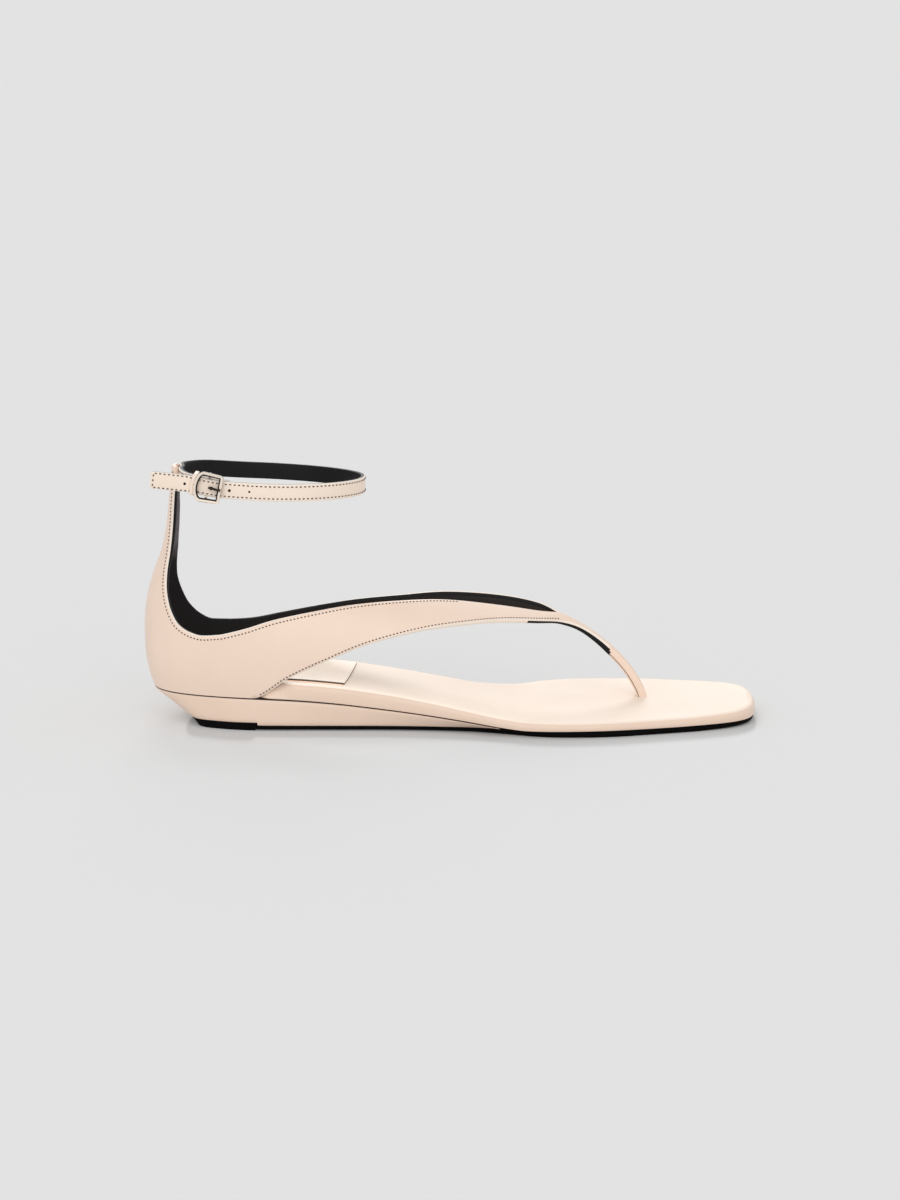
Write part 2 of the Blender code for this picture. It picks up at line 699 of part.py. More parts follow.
def make_buckle(material):
    frame_path = [buckle_place(u, 0.0, w) for u, w in buckle_outline()]
    frame = make_object("buckle", *swept(frame_path, round_section(BUCKLE_WIRE), closed=True), material)
    behind = BUCKLE_WIRE + STRAP_THICKNESS + 2 * CLEARANCE + HINGE_BAR
    rail = (BUCKLE_HALF_HEIGHT + BUCKLE_BACK_HALF_HEIGHT) / 2
    turn = behind * HINGE_TURN
    bar_path = [buckle_place(0.0, inward, up) for inward, up in (
        (0.0, rail), (turn, rail), (behind, rail - behind + turn), (behind, 0.0),
        (behind, -rail + behind - turn), (turn, -rail), (0.0, -rail))]
    bar = make_object("buckle_hinge_bar", *swept(bar_path, round_section(HINGE_BAR)), material)
    bar.hide_render = True
    bar.display_type = "WIRE"
    union = frame.modifiers.new("hinge bar", "BOOLEAN")
    union.operation = "UNION"
    union.object = bar
    return frame


def make_prong(material):
    front = BUCKLE_LENGTH / 2 - BUCKLE_WIRE
    over_bar = -BUCKLE_WIRE - CLEARANCE - PRONG
    path = [buckle_place(front - row.back, over_bar + row.inward, 0.0) for row in PRONG_PATH]
    return make_object("buckle_prong", *swept(smooth_path(path, 2), round_section(PRONG)), material)


def make_keeper(material):
    """A leather loop round both layers of the strap, just behind the buckle."""
    half_height = STRAP_WIDTH / 2 + KEEPER_ROOM
    middle = (KEEPER_OUTSIDE + KEEPER_INSIDE) / 2
    half_depth = (KEEPER_INSIDE - KEEPER_OUTSIDE) / 2
    points = []
    rings = []
    for along in (-KEEPER_WIDTH / 2, KEEPER_WIDTH / 2):
        for wall in (0.0, KEEPER_WALL):
            ring = []
            chamfer = KEEPER_CHAMFER * (1.0 + wall)
            for depth, up in chamfered(half_depth + wall, half_height + wall, chamfer):
                place = buckle_place(along + KEEPER_ALONG, 0.0, up)
                ring.append(len(points))
                points.append(Vector((place.x, middle + depth, place.z)))
            rings.append(ring)
    back_in, back_out, front_in, front_out = rings
    faces = []
    for a, b in ((back_in, back_out), (back_out, front_out), (front_out, front_in), (front_in, back_in)):
        for k in range(len(a)):
            faces.append((a[k - 1], a[k], b[k], b[k - 1]))
    return make_object("strap_keeper", points, faces, material)


def cut_post_hole(insole, material):
    """A pocket in the insole for the foot of the toe post."""
    foot = TOE_POST[-1]
    back = foot.x - foot.wall - POCKET_ROOM_BACK
    front = foot.x + POCKET_ROOM
    side = foot.half_width + POCKET_ROOM
    low, high = foot.z - POCKET_ROOM_BACK, foot.z + POCKET_HEIGHT
    corners = [(x, foot.y + y, z) for z in (low, high)
               for x, y in ((back, -side), (front, -side), (front, side), (back, side))]
    walls = [(k, (k + 1) % 4, (k + 1) % 4 + 4, k + 4) for k in range(4)]
    cutter = make_object("post_hole", corners, walls + [(3, 2, 1, 0), (4, 5, 6, 7)], material)
    cutter.hide_render = True
    cutter.display_type = "WIRE"
    cut = insole.modifiers.new("post hole", "BOOLEAN")
    cut.operation = "DIFFERENCE"
    cut.object = cutter


def centre_over_origin():
    """Hang everything on one empty, moved so that the sandal stands over the origin."""
    things = list(bpy.data.objects)
    corners = [thing.matrix_world @ vertex.co for thing in things if not thing.hide_render
               for vertex in thing.data.vertices]
    middle = [(min(c[axis] for c in corners) + max(c[axis] for c in corners)) / 2 for axis in range(2)]
    root = bpy.data.objects.new("sandal", None)
    bpy.context.collection.objects.link(root)
    for thing in things:
        thing.parent = root
    root.location = (-middle[0], -middle[1], 0.0)


def main():
    for thing in list(bpy.data.objects):
        bpy.data.objects.remove(thing, do_unlink=True)
    nude = make_material("nude_leather", (0.86, 0.68, 0.57), 0.42)
    cream = make_material("cream_leather", (0.97, 0.84, 0.74), 0.5)
    wedge_cover = make_material("wedge_leather", (0.80, 0.63, 0.52), 0.42)
    sole_rubber = make_material("black_sole", (0.012, 0.011, 0.011), 0.55)
    heel_rubber = make_material("black_top_piece", (0.012, 0.011, 0.011), 0.6)
    sock_leather = make_material("sock_leather", (0.95, 0.82, 0.72), 0.45)
    strap_leather = make_material("strap_leather", (0.87, 0.70, 0.59), 0.42)
    keeper_leather = make_material("keeper_leather", (0.87, 0.70, 0.59), 0.42)
    gold = make_material("pale_gold", (0.83, 0.74, 0.58), 0.2, 1.0)
    prong_gold = make_material("prong_gold", (0.83, 0.74, 0.58), 0.2, 1.0)
    sides = [sole_side(OUTER_EDGE, INNER_EDGE), sole_side(INNER_EDGE, OUTER_EDGE)]
    make_outsole(sides, sole_rubber)
    make_top_piece(sides, heel_rubber)
    make_wedge(sides, wedge_cover)
    insole = make_insole(sides, cream)
    cut_post_hole(insole, cream)
    make_sock(sides, sock_leather)
    make_upper(sides, nude)
    make_ankle_strap(strap_leather)
    make_buckle(gold)
    make_prong(prong_gold)
    make_keeper(keeper_leather)
    centre_over_origin()


main()
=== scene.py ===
"""Looks of the right thong sandal: covered wedge, counter and straps, buckled ankle strap.

Sizes are in millimetres in the sandal's own frame: x from heel to toe, y from the outer side (minus)
to the inner side (plus), z up from the floor. Meshes are scaled to metres and set over the frame.
"""
import math
from bisect import bisect_left
from collections import namedtuple

import bmesh
import bpy
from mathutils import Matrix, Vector
from mathutils.bvhtree import BVHTree


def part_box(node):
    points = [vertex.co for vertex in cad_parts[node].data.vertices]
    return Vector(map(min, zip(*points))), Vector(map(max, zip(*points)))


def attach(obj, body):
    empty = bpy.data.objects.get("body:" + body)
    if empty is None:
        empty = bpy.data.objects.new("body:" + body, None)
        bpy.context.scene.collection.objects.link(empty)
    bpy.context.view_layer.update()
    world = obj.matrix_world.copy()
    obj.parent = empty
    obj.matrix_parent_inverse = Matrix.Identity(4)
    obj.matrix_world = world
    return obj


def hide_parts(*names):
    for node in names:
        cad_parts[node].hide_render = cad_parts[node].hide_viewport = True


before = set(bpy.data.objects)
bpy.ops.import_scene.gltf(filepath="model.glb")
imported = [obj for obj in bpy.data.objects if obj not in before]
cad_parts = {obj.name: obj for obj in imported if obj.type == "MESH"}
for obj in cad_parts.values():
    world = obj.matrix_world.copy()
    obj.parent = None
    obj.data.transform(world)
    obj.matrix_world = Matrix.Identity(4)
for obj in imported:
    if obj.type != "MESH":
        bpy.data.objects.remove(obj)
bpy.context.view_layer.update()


def table(columns, *rows):
    """Rows of values under named columns."""
    row = namedtuple("Row", columns)
    return [row(*values) for values in rows]


MILLIMETRE = 0.001
CLEARANCE = 0.3
SAME_POINT = 0.01
SAME_STATION = 0.001

# How finely the pieces are drawn
OUTLINE_STEPS = 6
SIDE_STEPS = 40
FINER_STEPS = 5
OUTSOLE_STEPS = 150
HEEL_STEPS = 60
BREAST_STEPS = 3
SHANK_STEPS = 90
SEAM_STEPS = 150
INSOLE_STEPS = 200
CROSS_COLUMNS = 24
PLAN_STEPS = 900
PLAN_REACH = 2
UPPER_COLUMNS = 18
COUNTER_STEPS = 4
UPPER_STEPS = 10
THREAD_SIDES = 6
STRAP_STEPS = 16
STRAP_END_STEPS = 8
HOLE_SIDES = 20
WIRE_SIDES = 14
BUCKLE_CORNER_STEPS = 6
BUCKLE_ARC_STEPS = 24
HINGE_STEPS = 6
PRONG_STEPS = 8
ROUND_STEPS = 4
KEEPER_CORNER_STEPS = 6
KEEPER_STEPS = 96

# Sole edge: the feather edge, and the edge at the floor
EDGE_COLUMNS = "x y floor_x floor_y"
HEEL_BACK = (-122.0, 0.0, -104.4, 0.0)
TOE_TIP = (126.3, 1.5, 125.8, 1.5)
OUTER_EDGE = table(
    EDGE_COLUMNS,
    HEEL_BACK,
    (-119.7, -9.0, -104.0, -11.5),
    (-113.0, -17.2, -102.4, -20.6),
    (-100.0, -23.8, -96.0, -25.2),
    (-80.0, -28.6, -80.0, -29.4),
    (-50.0, -30.6, -50.0, -29.8),
    (-20.0, -32.6, -20.0, -30.0),
    (5.0, -37.0, 5.0, -32.4),
    (22.0, -41.8, 22.0, -36.4),
    (40.0, -44.3, 40.0, -41.8),
    (62.0, -42.6, 62.0, -41.6),
    (85.0, -36.8, 84.7, -35.9),
    (105.0, -30.3, 104.7, -29.6),
    (117.4, -23.8, 117.1, -23.2),
    (124.0, -14.2, 123.6, -14.0),
    TOE_TIP,
)
INNER_EDGE = table(
    EDGE_COLUMNS,
    HEEL_BACK,
    (-119.7, 9.0, -104.0, 11.5),
    (-113.0, 17.2, -102.4, 20.6),
    (-100.0, 23.6, -96.0, 25.0),
    (-80.0, 26.8, -80.0, 26.0),
    (-50.0, 25.4, -50.0, 22.4),
    (-15.0, 22.6, -15.0, 19.6),
    (10.0, 22.4, 10.0, 19.6),
    (26.0, 28.6, 26.0, 26.2),
    (40.0, 38.4, 40.0, 36.6),
    (56.0, 43.7, 56.0, 42.2),
    (78.0, 43.8, 77.8, 42.4),
    (99.0, 40.0, 98.4, 38.7),
    (114.6, 33.6, 113.8, 32.5),
    (123.0, 25.2, 122.1, 24.4),
    (126.0, 13.8, 124.9, 13.4),
    TOE_TIP,
)

# Heights along the sole
SOLE_HEIGHTS = table(
    "x insole_top feather outsole_top floor",
    (-126.0, 20.0, 13.6, 2.0, 0.4),
    (-82.0, 19.9, 13.2, 2.0, 0.4),
    (-65.0, 19.5, 12.7, 2.0, 0.4),
    (-48.0, 18.4, 11.6, 2.0, 0.4),
    (-26.0, 15.7, 9.3, 2.0, 0.4),
    (-4.0, 12.1, 6.8, 2.1, 0.4),
    (10.0, 9.5, 5.1, 2.3, 0.35),
    (22.0, 7.7, 3.7, 2.5, 0.15),
    (32.0, 6.7, 2.9, 2.6, 0.0),
    (60.0, 6.2, 2.8, 2.5, 0.0),
    (95.0, 6.3, 2.6, 2.3, 0.0),
    (112.0, 6.8, 2.6, 2.3, 0.3),
    (127.5, 7.7, 2.4, 2.1, 0.9),
)

# Where the sole pieces begin and end, the seams between them, and the insole's hollow
WEDGE_FRONT_X = 20.0
BAND_FLUSH_X = -62.0
BAND_ROOT_X = -72.0
BAND_RUN = 7.0
TOP_PIECE_FRONT_X = -78.0
OUTSOLE_BACK_X = -78.4
WEDGE_STEP = (-78.0, -77.3)
SEAM = 0.06
FEATHER_GAP = 0.5
SEAM_ROOM = 0.02
SEAM_DEPTH = 0.2
SEAM_SINKS = 0.5
SEAM_SINKS_X = -70.0
SEAM_RUN = 50.0
INSOLE_DISH = 0.4
HEEL_SEAT_DISH = 0.5
HEEL_SEAT_FRONT_X = -30.0
HEEL_SEAT_RUN = 20.0
SOCK_FRONT = (-43.0, -38.5)
SOCK_INSET = 6.2

# Levels of the sole pieces, bottom to top. drawn_in runs from the feather edge (0) to the floor edge (1).
OUTSOLE_LEVELS = table(
    "drawn_in inset height above",
    (1.0, 0.6, "floor", 0.0), (1.0, 0.18, "floor", 0.16), (1.0, 0.0, "floor", 0.5),
    (0.94, 0.0, "outsole_top", -0.3), (0.9, 0.25, "outsole_top", 0.0),
)
TOP_PIECE_LEVELS = table(
    "z drawn_in inset cut_back",
    (0.0, 1.06, 0.5, 1.0), (0.12, 1.05, 0.2, 0.7), (0.3, 1.04, 0.05, 0.45), (0.6, 1.02, 0.0, 0.3),
    (1.4, 0.965, 0.0, 0.1), (2.2, 0.91, 0.0, 0.0), (2.85, 0.86, 0.0, 0.3), (3.1, 0.84, 0.1, 0.8),
)
WEDGE_LEVELS = table(
    "up drawn_in inset",
    (0.0, 0.83, 0.3), (0.03, 0.8, 0.06), (0.15, 0.69, 0.0), (0.3, 0.55, 0.0), (0.45, 0.415, 0.0),
    (0.6, 0.28, 0.0), (0.74, 0.165, 0.0), (0.85, 0.08, 0.0), (0.94, 0.02, 0.02), (0.98, 0.0, 0.12),
    (1.0, 0.0, 0.4),
)
BAND_FOOT = table("up inset", (0.0, 0.5), (0.14, 0.12), (0.5, 0.0))
BAND_LEVELS = table(
    "below_top inset",
    (2.4, 0.02), (1.9, 0.1), (1.4, 0.27), (1.0, 0.5), (0.62, 0.85), (0.3, 1.3), (0.1, 1.95), (0.0, 2.8),
)
BAND_TURNED = 3
BAND_OVER_FOOT = 0.6
BAND_SQUEEZE = 0.02
SOCK_LEVELS = table("up inset", (0.05, 0.0), (0.5, 0.0), (0.68, 0.06), (0.8, 0.32))

# Heel wall's outward swing by height, and the counter's top line by distance from the heel's back
HEEL_SWING = table(
    "z out",
    (13.0, 0.0), (22.0, 2.6), (30.0, 3.5), (39.6, 3.6), (46.0, 3.0), (55.0, 1.3), (62.0, -1.0),
    (70.0, -4.0), (80.0, -6.1), (92.0, -7.5), (101.0, -8.6),
)
COUNTER_TOP = table(
    "along outer inner share",
    (0.0, 104.2, 104.2, 1.0),
    (6.4, 104.2, 104.2, 1.0),
    (10.0, 103.5, 103.5, 1.0),
    (11.0, 91.8, 91.7, 1.0),
    (12.3, 81.8, 84.3, 0.98),
    (14.3, 68.8, 72.7, 0.94),
    (16.8, 59.1, 62.8, 0.86),
    (18.8, 52.7, 55.8, 0.8),
    (21.6, 46.5, 49.3, 0.74),
    (25.0, 41.8, 43.1, 0.65),
    (29.8, 39.1, 38.1, 0.56),
    (34.9, 37.9, 35.5, 0.46),
    (42.8, 38.6, 35.0, 0.36),
)

# Strap sections, then the fork and toe post
SECTION_COLUMNS = "low_x low_y low_z top_x top_y top_z belly"
OUTER_STRAP = table(
    SECTION_COLUMNS,
    (-78.0, -28.8, 13.5, -82.0, -28.4, 41.4, 0.9),
    (-65.0, -30.6, 21.9, -71.0, -28.0, 44.9, 1.2),
    (-49.8, -31.8, 29.3, -56.0, -26.2, 48.0, 1.2),
    (-32.9, -31.2, 36.3, -39.0, -22.8, 50.5, 1.1),
    (-12.5, -27.6, 41.3, -19.5, -16.8, 51.2, 0.9),
    (3.0, -22.3, 42.9, -1.0, -9.6, 50.2, 0.7),
    (20.4, -12.4, 42.7, 20.6, 0.2, 46.1, 0.5),
    (36.6, -1.4, 40.4, 36.9, 7.2, 42.4, 0.3),
)
INNER_STRAP = table(
    SECTION_COLUMNS,
    (-78.0, 27.0, 13.5, -82.0, 26.8, 35.8, 0.8),
    (-65.0, 28.6, 20.9, -71.0, 27.0, 38.0, 1.0),
    (-49.8, 29.2, 26.6, -56.0, 26.6, 41.0, 1.0),
    (-32.9, 28.9, 32.0, -39.0, 25.4, 44.0, 1.0),
    (-12.5, 27.6, 37.0, -19.5, 23.0, 46.4, 0.9),
    (3.0, 26.0, 39.6, -1.0, 20.2, 48.3, 0.7),
    (20.4, 22.6, 40.6, 20.6, 16.2, 47.7, 0.5),
    (36.6, 18.0, 39.0, 36.9, 13.0, 45.0, 0.3),
)
TOE_POST = table(
    "x y z half_width drop wall",
    (46.6, 11.0, 40.6, 4.6, 2.2, 1.9),
    (54.0, 11.2, 36.9, 3.1, 0.9, 2.2),
    (61.5, 11.1, 32.0, 2.6, 0.5, 2.8),
    (69.0, 10.8, 25.6, 2.6, 0.4, 3.3),
    (75.5, 10.4, 18.6, 2.7, 0.4, 3.6),
    (80.0, 10.0, 11.6, 2.8, 0.4, 3.8),
    (82.0, 9.8, 6.4, 2.8, 0.4, 3.8),
    (82.3, 9.8, 5.2, 2.8, 0.4, 3.8),
)

# Upper's wall, and where it thickens and leans towards the toe post
UPPER_WALL = 2.0
WALL_GROWS_X = 20.0
LEAN_FADE = 25.0
SEATED_ROOM = 0.2

# Rounded edge of the upper's wall: how far through the wall, and how far it bulges. The strips between
# these rows are painted up to PAINTED_RIM, and the strip POST_LINE is the sunk line on the toe post.
RIM = table(
    "through bulge",
    (0.1, 0.2), (0.3, 0.36), (0.5, 0.4), (0.76, 0.33), (0.84, 0.26), (0.93, 0.15),
)
PAINTED_RIM = 2
POST_LINE = 4

# Places in a piece's list of finishes, and where the upper's finishes begin and end
LEATHER, EDGE, LINING, HEEL_GRIP, POST_SEAM = range(5)
# The buckle's faces away from the front take a dark copy of the gold: painted shade and painted dark
# reflection.
LIT, PAINTED_SHADE = range(2)
LINING_END_X = 66.5
HEEL_GRIP_FRONT_X = -74.0
LOW_RIM_PAINTED_X = 31.0
TURNED_END_Z = 98.0

# Ankle strap's middle line from its end under the buckle, round the ankle, to its free end
STRAP_ROUTE = table(
    "x y z",
    (-88.0, -26.4, 98.2), (-96.0, -26.6, 99.6), (-104.4, -25.6, 101.3), (-107.8, -18.4, 102.2),
    (-107.9, -9.5, 102.1), (-109.0, 0.0, 101.8), (-107.4, 10.5, 101.1), (-100.8, 21.0, 100.1),
    (-87.0, 27.6, 98.5), (-72.0, 29.2, 97.6), (-56.4, 27.0, 96.8), (-44.2, 20.0, 96.4),
    (-37.3, 9.5, 96.5), (-35.3, -1.0, 96.6), (-37.9, -12.0, 96.7), (-45.8, -21.2, 96.8),
    (-57.2, -27.4, 97.0), (-70.0, -30.0, 97.3), (-83.0, -30.4, 98.0), (-93.0, -30.4, 98.9),
    (-104.0, -30.6, 101.0), (-118.7, -31.6, 102.8),
)
STRAP_WIDTH = 6.8
STRAP_THICKNESS = 1.8
STRAP_ROUND = 0.4
STRAP_FACE_DEPTH = 0.1
FREE_RUN_ROWS = 6
STRAP_HOLES = table("x radius", (-105.2, 0.55), (-94.7, 0.75), (-87.5, 0.6), (-79.6, 0.45))
HOLE_DEPTH = 0.6
PUNCH_REACH = 3.0

# Buckle and keeper
BUCKLE_MIDDLE = (-96.1, -32.5, 99.7)
BUCKLE_SLOPE = 11.5
BUCKLE_LENGTH = 11.1
BUCKLE_HALF_HEIGHT = 5.0
BUCKLE_BACK_HALF_HEIGHT = 5.3
BUCKLE_BACK_REACH = 2.7
BUCKLE_CORNER = 0.5
BUCKLE_WIRE = 0.75
BUCKLE_SECTION = [(-0.6, -0.75), (0.2, -0.75), (0.6, -0.68), (0.78, -0.45), (0.78, 0.45), (0.5, 0.75),
                  (-0.5, 0.75), (-0.78, 0.45), (-0.78, -0.5)]
# Section faces that keep the plain gold; the others take the painted shade.
BUCKLE_LIT = (0, 8)
HINGE_BAR = 0.6
HINGE_TURN = 0.75
PRONG = 0.5
PRONG_PATH = table("back inward", (4.4, 1.95), (3.2, 1.6), (1.8, 0.9), (0.5, 0.0), (-0.5, 0.0))
KEEPER_ALONG = -6.6
KEEPER_BOW = 1.1
KEEPER_WIDTH = 1.6
KEEPER_WALL = 0.8
KEEPER_ROUND = 0.3
KEEPER_EDGE = 0.15
KEEPER_CORNER = 0.9
KEEPER_ROOM = 0.25
KEEPER_OUTSIDE = -31.8
KEEPER_INSIDE = -23.6
KEEPER_FACE_Y = -33.0

# Sewing
UPPER_PITCH = 1.45
STRAP_PITCH = 1.75
STITCH_SHARE = 0.5
THREAD_RADIUS = 0.24
TOP_STITCH_INSET = 1.3
LOW_STITCH_INSET = 0.6
STRAP_STITCH_INSET = 1.0
FREE_END_INSET = 0.55
FREE_END_X = -100.0
FREE_END_RUN = 5.0
TOP_SEAM_FIRST_ROW = 2
TOP_SEAM_END_X = 4.0
LOW_SEAM = (-77.0, 46.0)
STITCH_FORM = table(
    "along lift size",
    (-1.0, -0.12, 0.55), (-0.8, -0.01, 0.9), (-0.3, 0.05, 1.0), (0.3, 0.05, 1.0), (0.8, -0.01, 0.9),
    (1.0, -0.12, 0.55),
)

# Soft steps in the finishes: the middle of the step and its width
# Painted glow: it lights the shade under the straps and fades out towards the toe at this step.
PAINTED_GLOW_FRONT_X = (28.0, 60.0)
# The heel grip turns to a lighter grey above this height.
LIGHTER_ABOVE_Z = (67.0, 9.0)
PORE_PIT = (0.16, 0.2)

# Sizes of the leather's features
CLOUD = 26.0
CREASE = 1.6
PORE = 0.55
GRAIN_DEPTH = 0.06

# Studio: tones, lights and camera, with places in metres
FLOOR_TONE = 0.5
FLOOR_GLOW = 0.1
BACKGROUND = 0.765
FLOOR_CORNERS = [(-30.0, -30.0, 0.0), (30.0, -30.0, 0.0), (30.0, 60.0, 0.0), (-30.0, 60.0, 0.0)]
FRONT_SUN, BACK_SUN, SKIMMING_SUN = table(
    "name direction strength spread",
    ("front", (0.08, 0.96, -0.55), 0.95, 70.0),
    ("back", (0.1, -0.85, -0.53), 0.8, 25.0),
    ("skimming", (0.0, -0.986, -0.165), 5.4, 5.0),
)
CAMERA_LENS = 84.57
CAMERA_SENSOR = 36.0
CAMERA_PLACE = (-0.0003, -1.1398, 0.2636)
CAMERA_AIM = (-0.0003, 0.0, 0.0482)

# Where the sandal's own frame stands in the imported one
keeper_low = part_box("strap_keeper")[0]
toe_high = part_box("outsole")[1]
SHIFT = Vector((toe_high[0] / MILLIMETRE - OUTER_EDGE[-1].floor_x,
                keeper_low[1] / MILLIMETRE - KEEPER_FACE_Y, 0.0))


# Materials

class Value:
    """A number that varies over a surface: arithmetic on it adds Math nodes."""

    def __init__(self, tree, socket):
        self.tree = tree
        self.socket = socket

    def maths(self, operation, *terms):
        node = self.tree.nodes.new("ShaderNodeMath")
        node.operation = operation
        for place, term in zip(node.inputs, terms):
            if isinstance(term, Value):
                self.tree.links.new(term.socket, place)
            else:
                place.default_value = term
        return Value(self.tree, node.outputs[0])

    def __add__(self, other):
        return self.maths("ADD", self, other)

    def __sub__(self, other):
        return self.maths("SUBTRACT", self, other)

    def __rsub__(self, other):
        return self.maths("SUBTRACT", other, self)

    def __mul__(self, other):
        return self.maths("MULTIPLY", self, other)

    def __truediv__(self, other):
        return self.maths("DIVIDE", self, other)

    __radd__ = __add__
    __rmul__ = __mul__

    def below(self, limit, blur):
        """1 under the limit and 0 over it, with a soft step."""
        return self.maths("MINIMUM", self.maths("MAXIMUM", (limit - self) / blur + 0.5, 0.0), 1.0)


class Finish:
    """One material, built round its Principled shader."""

    def __init__(self, name):
        self.material = bpy.data.materials.new(name)
        self.material.use_nodes = True
        self.tree = self.material.node_tree
        self.shader = self.tree.nodes["Principled BSDF"]
        self.places = self.node("ShaderNodeTexCoord", output="Object")

    def node(self, kind, settings=None, sockets=None, output=0):
        """A new node: its settings first, then the values or links of its sockets."""
        node = self.tree.nodes.new(kind)
        for name, setting in (settings or {}).items():
            setattr(node, name, setting)
        self.plug(node, sockets or {})
        return Value(self.tree, node.outputs[output])

    def plug(self, node, sockets):
        for name, value in sockets.items():
            if isinstance(value, Value):
                self.tree.links.new(value.socket, node.inputs[name])
            else:
                node.inputs[name].default_value = value

    def noise(self, size, detail=3.0, roughness=0.55, stretch=None):
        """Soft noise with features of about the given size in millimetres, from 0 to 1."""
        return self.node("ShaderNodeTexNoise", None, {
            "Vector": self.stretched(stretch), "Scale": 1.0 / (size * MILLIMETRE), "Detail": detail,
            "Roughness": roughness})

    def cells(self, size):
        """Small cells of the given size in millimetres, as in a leather's grain."""
        return self.node("ShaderNodeTexVoronoi", {"feature": "F1"}, {
            "Vector": self.places, "Scale": 1.0 / (size * MILLIMETRE)}, output="Distance")

    def stretched(self, scale):
        if scale is None:
            return self.places
        return self.node("ShaderNodeVectorMath", {"operation": "MULTIPLY"}, {0: self.places, 1: scale})

    def axis(self, letter):
        """One of the object's own coordinates, in millimetres of the sandal's frame."""
        place = self.node("ShaderNodeSeparateXYZ", None, {"Vector": self.places}, output=letter)
        return place / MILLIMETRE - SHIFT["XYZ".index(letter)]

    def mix(self, share, first, second):
        """From the first colour to the second by a share."""
        sockets = {"Factor": share}
        for place, colour in ((6, first), (7, second)):
            sockets[place] = colour if isinstance(colour, Value) else (*colour, 1.0)
        return self.node("ShaderNodeMix", {"data_type": "RGBA"}, sockets, output=2)

    def bump(self, height, depth):
        """A height from 0 to 1, as relief of a depth in millimetres."""
        return self.node("ShaderNodeBump", None, {
            "Height": height, "Distance": depth * MILLIMETRE, "Strength": 1.0})

    def set(self, **sockets):
        """Values or links of the shader, by socket name with _ for a space."""
        named = {name.replace("_", " "): value for name, value in sockets.items()}
        for name, value in named.items():
            if isinstance(value, tuple) and len(value) == 3:
                named[name] = (*value, 1.0)
        self.plug(self.shader, named)
        return self.material


def scaled(colour, factor, lift=0.0):
    """A colour made lighter or darker by a factor, and lifted."""
    return tuple(c * factor + lift for c in colour)


def smooth_leather(name, colour, shade, rough=0.4, painted_glow_strength=0.0):
    """Fine calf leather: clouded colour, pebbled grain, soft sheen, and a painted glow lighting the
    shade.
    """
    leather = Finish(name)
    clouds = leather.noise(CLOUD, detail=4.0)
    pores = leather.cells(PORE)
    creases = leather.noise(CREASE, detail=5.0, roughness=0.6)
    tone = leather.mix(clouds, colour, shade)
    tone = leather.mix(pores.below(*PORE_PIT) * 0.14, tone, scaled(shade, 0.86))
    relief = pores * 0.55 + creases * 0.45
    # Painted light: a glow, stronger towards the heel, stands in for light in the shade under the straps.
    if painted_glow_strength:
        painted_glow = leather.mix(leather.axis("X").below(*PAINTED_GLOW_FRONT_X), (0.0, 0.0, 0.0), tone)
        leather.set(Emission_Color=painted_glow, Emission_Strength=painted_glow_strength)
    return leather.set(
        Base_Color=tone, Roughness=rough + (clouds - 0.5) * 0.1 + (creases - 0.5) * 0.08,
        Normal=leather.bump(relief, GRAIN_DEPTH), Coat_Weight=0.08, Coat_Roughness=0.35,
        Specular_IOR_Level=0.42)


def edge_paint(name, colour):
    """Smooth painted cut edge, faintly uneven."""
    paint = Finish(name)
    ripple = paint.noise(3.0)
    tone = paint.mix(ripple * 0.5, colour, scaled(colour, 0.9))
    return paint.set(Base_Color=tone, Roughness=0.38 + ripple * 0.1,
                     Normal=paint.bump(ripple, 0.05))


def dark_lining(name, colour, nap, rough, high_colour=None):
    """Dark fibrous leather, smooth or napped, turning to another colour high up in the back strip."""
    lining = Finish(name)
    fibres = lining.noise(0.35, detail=4.0, roughness=0.7)
    clouds = lining.noise(9.0)
    tone = lining.mix(fibres * 0.6 + clouds * 0.4, colour, scaled(colour, 1.9, lift=0.004))
    # Above a height in the back strip, the lining takes another colour.
    if high_colour:
        high_tone = lining.mix(fibres, scaled(high_colour, 0.6), scaled(high_colour, 1.4))
        tone = lining.mix(lining.axis("Z").below(*LIGHTER_ABOVE_Z), high_tone, tone)
    return lining.set(Base_Color=tone, Roughness=rough + (clouds - 0.5) * 0.12,
                      Normal=lining.bump(fibres, nap), Specular_IOR_Level=0.14)


def black_rubber(name):
    """Matte black sole rubber with a fine moulded grit and scuffed patches."""
    rubber = Finish(name)
    grit = rubber.noise(0.5, roughness=0.7)
    rub = rubber.noise(14.0, detail=4.0)
    tone = rubber.mix(rub, (0.0025, 0.0022, 0.0023), (0.007, 0.006, 0.006))
    return rubber.set(Base_Color=tone, Roughness=0.5 + (rub - 0.5) * 0.16,
                      Normal=rubber.bump(grit, 0.06), Specular_IOR_Level=0.02)


def pale_gold(name, light, deep):
    """Polished light gold plate with fine rubbing marks."""
    gold = Finish(name)
    marks = gold.noise(0.9, detail=4.0, roughness=0.6, stretch=(1.0, 1.0, 0.15))
    tone = gold.mix(marks, light, deep)
    return gold.set(Base_Color=tone, Metallic=1.0, Roughness=0.16 + marks * 0.1,
                    Normal=gold.bump(marks, 0.012))


def sewing_thread(name):
    """Dark brown twisted thread."""
    thread = Finish(name)
    twist = thread.noise(0.25, detail=2.0)
    tone = thread.mix(twist, (0.011, 0.006, 0.004), (0.03, 0.019, 0.013))
    return thread.set(Base_Color=tone, Roughness=0.62, Normal=thread.bump(twist, 0.04))


def plain_floor(name):
    """Even studio paper without gloss."""
    return Finish(name).set(Base_Color=(FLOOR_TONE,) * 3, Roughness=1.0, Specular_IOR_Level=0.0,
                            Emission_Color=(FLOOR_GLOW,) * 3, Emission_Strength=1.0)


# Shapes

